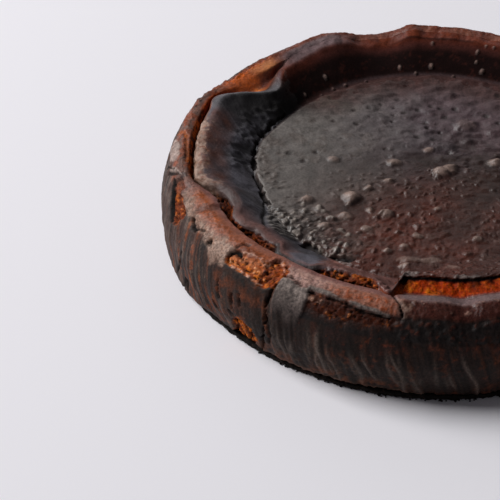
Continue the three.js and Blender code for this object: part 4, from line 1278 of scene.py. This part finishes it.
FINISHES = (
    ("papered_custard_side", 0.2, 0.6, 0.5), ("satin_custard_top", 0.5, 0.6, 0.28),
    ("torn_custard_crumb", 0.1, 0.8, 0.6), ("charred_custard_wall", 0.1, 0.4, 0.25))
PAPERED, SATIN_TOP, TORN, CHARRED = range(len(FINISHES))
SATIN_FROM = 6.0  # the line where the lip's crest begins
for finish in FINISHES:
    cheesecake.data.materials.append(custard_skin(*finish))
first_corner = np.empty(len(cheesecake.data.polygons), np.int32)
cheesecake.data.polygons.foreach_get("loop_start", first_corner)
corners = np.empty(len(cheesecake.data.loops), np.int32)
cheesecake.data.loops.foreach_get("vertex_index", corners)
finish_of = np.where(line + 0.3 * ragged >= SATIN_FROM, SATIN_TOP, PAPERED)
finish_of[charred > 0.5] = CHARRED
finish_of[torn > 0.5] = TORN
finish_of = finish_of[corners[first_corner]]
cheesecake.data.polygons.foreach_set("material_index", finish_of.astype(np.int32))
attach(cheesecake, "root")
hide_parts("cheesecake")


# Floor, light and camera
# A pale floor under one large soft light from the left, with a dimmer pale glow behind and dark surroundings.
FLOOR_COLOUR = "#f2f0f5"
FLOOR_HALF = 6.0
floor_mesh = bpy.data.meshes.new("studio_floor")
floor_mesh.from_pydata(
    [(-FLOOR_HALF, -FLOOR_HALF, 0), (FLOOR_HALF, -FLOOR_HALF, 0), (FLOOR_HALF, FLOOR_HALF, 0),
     (-FLOOR_HALF, FLOOR_HALF, 0)], [], [(0, 1, 2, 3)])
floor = bpy.data.objects.new("studio_floor", floor_mesh)
bpy.context.scene.collection.objects.link(floor)
# Matt paint: pale and without gloss, so that it shows only the soft shadow of what stands on it
pale_floor, tree, _ = new_material("pale_matt_paint")
shader = add_node(tree, "ShaderNodeBsdfPrincipled", {
    "Base Color": paint(FLOOR_COLOUR), "Roughness": 0.9, "Specular IOR Level": 0.0})
add_node(tree, "ShaderNodeOutputMaterial", {"Surface": shader.outputs["BSDF"]})
floor_mesh.materials.append(pale_floor)
floor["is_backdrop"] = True

GLOW_COLOUR = "#f0eef6"
GLOW_STRENGTH = 0.1
surroundings = bpy.data.worlds.new("pale_surroundings")
surroundings.use_nodes = True
tree = surroundings.node_tree
tree.nodes.clear()
glow = add_node(tree, "ShaderNodeBackground", {"Color": paint(GLOW_COLOUR), "Strength": GLOW_STRENGTH})
add_node(tree, "ShaderNodeOutputWorld", {"Surface": glow.outputs["Background"]})
bpy.context.scene.world = surroundings

LIGHTS = (  # name, azimuth anticlockwise from +X, elevation, distance, width, height, power
    ("soft_key", 161.0, 38.0, 3.0, 1.8, 1.8, 111.0),
    ("backdrop_glow", 98.0, 30.0, 2.4, 2.6, 1.0, 5.0),
)
for name, azimuth, elevation, distance, width, tall, power in LIGHTS:
    light = bpy.data.lights.new(name, "AREA")
    light.shape = "RECTANGLE"
    light.size = width
    light.size_y = tall
    light.energy = power
    lamp = bpy.data.objects.new(name, light)
    turn = math.radians(azimuth)
    rise = math.radians(elevation)
    lamp.location = (distance * math.cos(rise) * math.cos(turn), distance * math.cos(rise) * math.sin(turn),
                     distance * math.sin(rise))
    lamp.rotation_euler = (math.pi / 2 - rise, 0, turn + math.pi / 2)
    bpy.context.scene.collection.objects.link(lamp)

CAMERA_PLACE = (-0.0775, -0.7173, 0.5571)
CAMERA_TILT = 51.492
CAMERA_LENS = 151.2
camera_data = bpy.data.cameras.new("photo_camera")
camera_data.lens = CAMERA_LENS
camera_data.sensor_width = 36.0
camera = bpy.data.objects.new("photo_camera", camera_data)
camera.location = CAMERA_PLACE
camera.rotation_euler = (math.radians(CAMERA_TILT), 0, 0)
bpy.context.scene.collection.objects.link(camera)
bpy.context.scene.camera = camera
bpy.context.scene.view_settings.view_transform = "Standard"

size = {"cad": [list(corner) for corner in cad_box], "visual": [list(corner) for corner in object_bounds()]}
